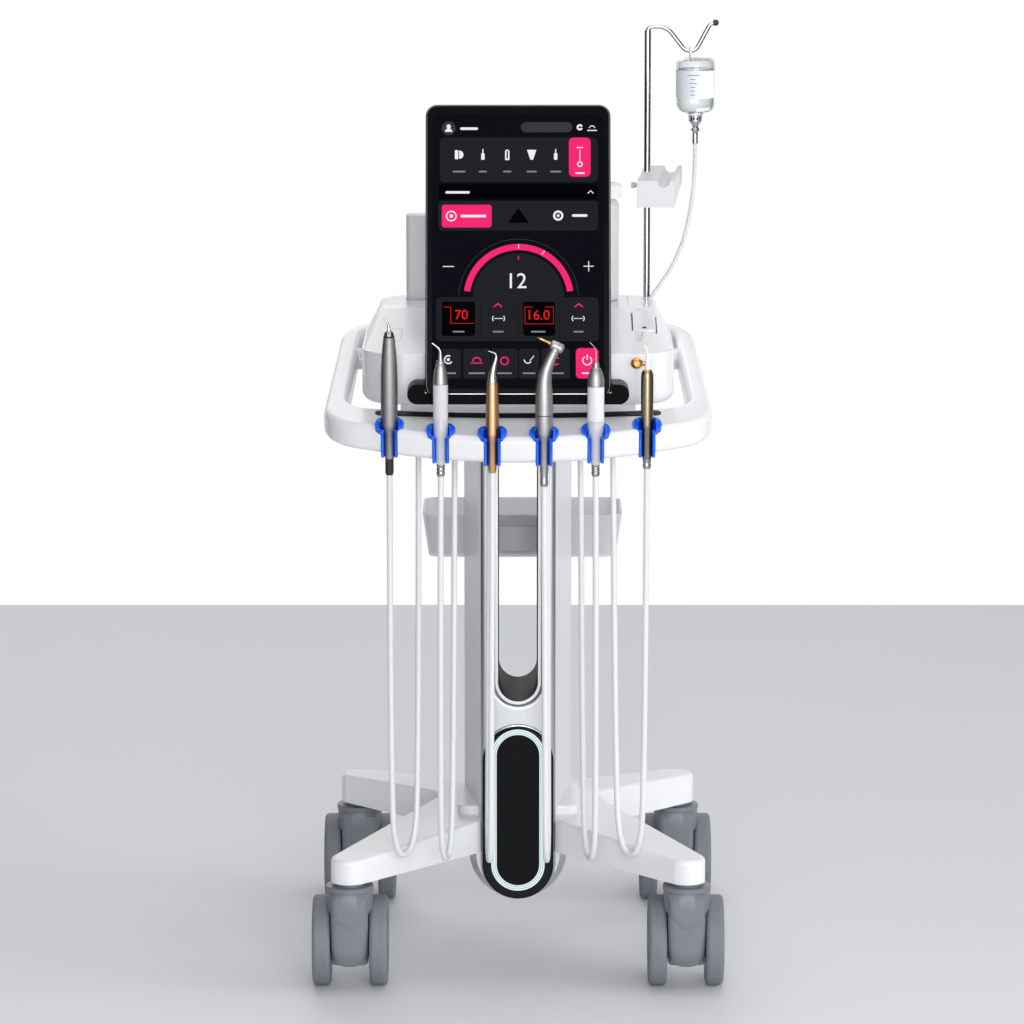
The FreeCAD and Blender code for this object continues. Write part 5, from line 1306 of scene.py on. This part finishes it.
class DripStand(bpy.types.Operator):
    """Pole with its bracket, the hanging bottle with liquid and label, its connector and the clear tube"""

    bl_idname = "cart.drip_stand"
    bl_label = "Drip stand"

    def execute(self, context):
        dress(drip_pole="chrome")
        self.bracket()
        place = move(DRIP_X, POLE_Y, BOTTLE_LOW)
        self.bottle(place, context.scene.cart_sizes.fill)
        self.label(place)
        self.fitting(place)
        self.hanger()
        self.tube(context.scene.cart_sizes.drip)
        _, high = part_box("drip_pole")
        end = Form()
        end.turn(ARM_END, facing(Vector((high.x, POLE_Y * MM, high.z - ARM_RADIUS * MM)), RIGHT), 32)
        end.piece("arm_end_cap", ("boot_black",), "cart")
        return {"FINISHED"}

    def bracket(self):
        """Holder on the pole: a notched plate that runs back, up and to the right, its clamp and screw."""
        low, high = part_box("pole_bracket")
        foot = low.z / MM
        top = foot + HOLDER_TALL
        plate = [(134, foot), (176, foot), (176, top), (171, top), (170, top - 4), (167, top - 7),
                 (163.5, top - 8), (160, top - 7), (157, top - 4), (156, top), (134, top)]
        near, far = low.y / MM, high.y / MM
        holder = Form()
        holder.loft([[millimetres(x, near, z) for x, z in plate],
                     [millimetres(x + 10, far, max(z, top - 18) + 14) for x, z in plate]])
        holder.slab(rounded(136, 61, 156, 88, 4), foot, top - 2, Matrix.Identity(4))
        holder.turn(HOLDER_SCREW, facing(millimetres(low.x / MM, POLE_Y, top - 7), RIGHT), 24)
        holder.piece("pole_holder", ("soft_white", "pale_grey"), "pole_bracket",
                     ("pole_bracket",))

    def bottle(self, place, fill):
        """Glass wall of the bottle and the liquid in it."""
        glass = Form()
        glass.turn(shell_rows(BOTTLE, BOTTLE_WALL), place, 64)
        glass.piece("drip_glass", ("glass",), "drip_bottle", ("drip_bottle",), crease=60)
        level = BOTTLE_TALL * fill
        liquid = Form()
        liquid.turn(((0, level), (19.9, level), (20.4, level + 0.4), *LIQUID), place, 64)
        liquid.piece("drip_liquid", ("liquid",), "drip_bottle", crease=60)

    def label(self, place):
        """Blank label round the bottle with plain bars on it."""
        label = Form()
        label.slab(bow(0, 0, *LABEL, 64), *LABEL_EDGES, place)
        for step, width in enumerate(BAR_WIDTHS):
            low = BAR_FIRST - BAR_STEP * step
            line = bow(0, 0, *BAR_RADII, BAR_ANGLE - width, BAR_ANGLE + width * 1.6, 12)
            label.slab(line, low, low + BAR_THICK, place, 1)
        label.piece("drip_label", ("label", "mark_grey"), "drip_bottle")

    def fitting(self, place):
        """Turned connector under the bottle, with teeth round its collar."""
        fitting = Form()
        fitting.turn(FITTING, place, 40)
        fitting.teeth(FITTING_TEETH, 7.0, TOOTH, -6.2, -0.8, place)
        fitting.piece("drip_fitting", ("steel", "boot_black"), "drip_bottle", ("drip_connector",))

    def hanger(self):
        """Eye that hangs on the hook, with two roots on the bottle."""
        middle = millimetres(*HOOK)
        hanger = Form()
        eye = [middle + millimetres(0, y, z) for y, z in circle(EYE_RADIUS, EYE_STEPS)]
        hanger.sweep(eye, EYE_THICK, 12, closed=True)
        for side in (-1, 1):
            root = smooth_line([middle + millimetres(x, side * y, z) for x, y, z in HANGER_ROOT])
            hanger.sweep(root, ROOT_THICK, 12)
        hanger.piece("drip_hanger", ("tip_white",), "drip_bottle")

    def tube(self, diameter):
        """Clear tube from the connector to the hood."""
        line = smooth_line([millimetres(*point) for point in DRIP_ROUTE])
        tube = Form()
        tube.sweep(line, diameter / 2, 18)
        made = tube.piece("drip_line", ("tube_clear",), replaces=("drip_tube",))
        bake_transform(made)


# Rear bottle from its foot up, its liquid and its cap
JAR_WALL = 1.5
JAR = ((0, 0.2), (23.6, 0.2), (25.4, 0.9), (26, 2.4), (26, 108), (25, 111), (21.5, 114.4), (18, 116.4),
       (18, 123))
JAR_LIQUID = ((0, 2.2), (22, 2.2), (24, 3.4), (24.2, 6), (24.2, 82), (0, 82))
JAR_CAP = ((18.6, 116.7), (28.6, 116.7), (28.8, 117.7), (28.8, 129.1), (28.2, 130.7), (26.6, 131.5),
           (20, 131.5), (19.6, 130.9), (0, 130.9), (0, 123.5), (18.6, 123.5), (18.6, 116.7))
CAP_RIBS = 48
RIB = rounded(-0.5, -0.55, 0.5, 0.55, 0.4, 2)


class RearVessels(bpy.types.Operator):
    """Frosted tank and capped bottle that stand on the hood"""

    bl_idname = "cart.rear_vessels"
    bl_label = "Rear vessels"

    def execute(self, context):
        dress(rear_tank="tank_frost")
        place = move(JAR_X, JAR_Y, HOOD_TOP)
        jar = Form()
        jar.turn(shell_rows(JAR, JAR_WALL), place, 64)
        jar.piece("jar_wall", ("jar_milk",), "rear_bottle", ("rear_bottle",), crease=60)
        liquid = Form()
        liquid.turn(JAR_LIQUID, place, 64)
        liquid.piece("jar_liquid", ("liquid",), "rear_bottle")
        cap = Form()
        cap.turn(JAR_CAP, place, 96)
        cap.teeth(CAP_RIBS, 28.7, RIB, 118.5, 128.5, place)
        cap.piece("jar_cap", ("matt_white",), "rear_bottle")
        return {"FINISHED"}


# How much more soft light comes from the right than from the left, and from the front than from the back
FROM_RIGHT = 0.22
FROM_FRONT = 0.15
# Lamps by the setting of their power: place and width in metres
LAMPS = {"key": ((0.4, -4.1, 1.5), 2.2), "fill": ((0.4, -4.4, 1.0), 2.2), "side": ((3.4, -0.9, 0.9), 1.6),
         "top": ((0.2, 0.3, 3.2), 2.0), "back": ((-0.6, 2.8, 2.2), 1.8)}
LAMP_AIM = Vector((0, 0, 0.5))
# Camera: the point it looks at, how far off it stands and how steeply it looks down
LOOK_AT = Vector((-0.0067, -0.022, 0.5015))
LOOK_FROM = 5.541
LOOK_DOWN = math.radians(10.6)
SENSOR = 36.0
# Outlines in millimetres of the floor and of a board
FLOOR = ((-1900, -1900), (1900, -1900), (1900, 1888), (-1900, 1888))
FLOOR_THICK = 20
BOARD = ((-30, -1100), (30, -1100), (30, 900), (-30, 900))
BOARD_LOW = 30
BOARD_HIGH = 2000
BOARD_X = 1150


class Stage(bpy.types.Operator):
    """Pale floor, white surroundings, soft lamps and the camera"""

    bl_idname = "cart.stage"
    bl_label = "Stage"

    def execute(self, context):
        settings = context.scene.cart_stage
        self.floor()
        self.surroundings(context.scene, settings.ambient)
        self.boards()
        for name, (spot, size) in LAMPS.items():
            self.lamp(f"{name}_lamp", Vector(spot), size, getattr(settings, name))
        self.camera(context.scene, settings.lens)
        context.scene.view_settings.view_transform = "Standard"
        return {"FINISHED"}

    def floor(self):
        """Pale floor that takes the cart's shadow."""
        floor = Form()
        floor.slab(FLOOR, -FLOOR_THICK, 0, Matrix.Identity(4))
        made = floor.piece("studio_floor", ("floor",))

    def boards(self):
        """Dark boards beside the cart that only shiny surfaces see."""
        for side, name in ((-1, "left"), (1, "right")):
            board = Form()
            board.slab(BOARD, BOARD_LOW, BOARD_HIGH, move(side * BOARD_X, 0, 0))
            made = board.piece(f"{name}_board", ("board_black",))
            made.visible_camera = False
            made.visible_diffuse = False
            made.visible_shadow = False

    def surroundings(self, scene, ambient):
        """White for camera, mirrors and glass, and for the rest a soft light, stronger from the right."""
        scene.world = bpy.data.worlds.new("studio")
        tree = Tree(scene.world)
        path = tree.node("ShaderNodeLightPath").socket.node
        camera, glossy, through = (Shade(tree, path.outputs[ray]) for ray in
                                   ("Is Camera Ray", "Is Glossy Ray", "Is Transmission Ray"))
        seen = camera.at_least(glossy).at_least(through)
        way = tree.node("ShaderNodeTexCoord", output="Generated")
        split = tree.node("ShaderNodeSeparateXYZ", sockets={0: way}).socket.node
        right, back = (Shade(tree, split.outputs[axis]) for axis in ("X", "Y"))
        soft = ambient + FROM_RIGHT * right - FROM_FRONT * back
        backdrop = tree.nodes["Background"]
        tree.feed(backdrop.inputs["Color"], (1, 1, 1))
        tree.feed(backdrop.inputs["Strength"], soft + (1 - soft) * seen)

    def lamp(self, name, spot, size, watts):
        """Square lamp that faces the cart."""
        light = bpy.data.lights.new(name, "AREA")
        light.energy = watts
        light.size = size
        made = bpy.data.objects.new(name, light)
        made.location = spot
        made.rotation_euler = (LAMP_AIM - spot).to_track_quat("-Z", "Y").to_euler()
        bpy.context.scene.collection.objects.link(made)

    def camera(self, scene, lens):
        """Camera that stands as the photograph's did."""
        data = bpy.data.cameras.new("photo_camera")
        data.lens = lens
        data.sensor_width = SENSOR
        made = bpy.data.objects.new("photo_camera", data)
        made.location = LOOK_AT + Vector((0, -math.cos(LOOK_DOWN), math.sin(LOOK_DOWN))) * LOOK_FROM
        made.rotation_euler = (math.pi / 2 - LOOK_DOWN, 0, 0)
        scene.collection.objects.link(made)
        scene.camera = made


OPERATORS = (Stage, Hoses, Handpieces, DripStand, Base, Column, Console, Screen, RearVessels)


class CartPanel(bpy.types.Panel):
    """Lists the steps that dress the cart"""

    bl_idname = "VIEW3D_PT_cart"
    bl_label = "Dental cart"
    bl_space_type = "VIEW_3D"
    bl_region_type = "UI"
    bl_category = "Cart"

    def draw(self, context):
        for group in (context.scene.cart_colours, context.scene.cart_sizes, context.scene.cart_stage):
            for name in group.__annotations__:
                self.layout.prop(group, name)
        for operator in OPERATORS:
            self.layout.operator(operator.bl_idname)


GROUPS = {"cart_colours": CartColours, "cart_sizes": CartSizes, "cart_stage": CartStage}


def register():
    for each in (*GROUPS.values(), *OPERATORS, CartPanel):
        bpy.utils.register_class(each)
    for name, group in GROUPS.items():
        setattr(bpy.types.Scene, name, bpy.props.PointerProperty(type=group))


def unregister():
    for name in GROUPS:
        delattr(bpy.types.Scene, name)
    for each in (CartPanel, *reversed(OPERATORS), *reversed(GROUPS.values())):
        bpy.utils.unregister_class(each)


def main():
    register()
    for operator in OPERATORS:
        folder, name = operator.bl_idname.split(".")
        getattr(getattr(bpy.ops, folder), name)()


if __name__ == "__main__":
    main()
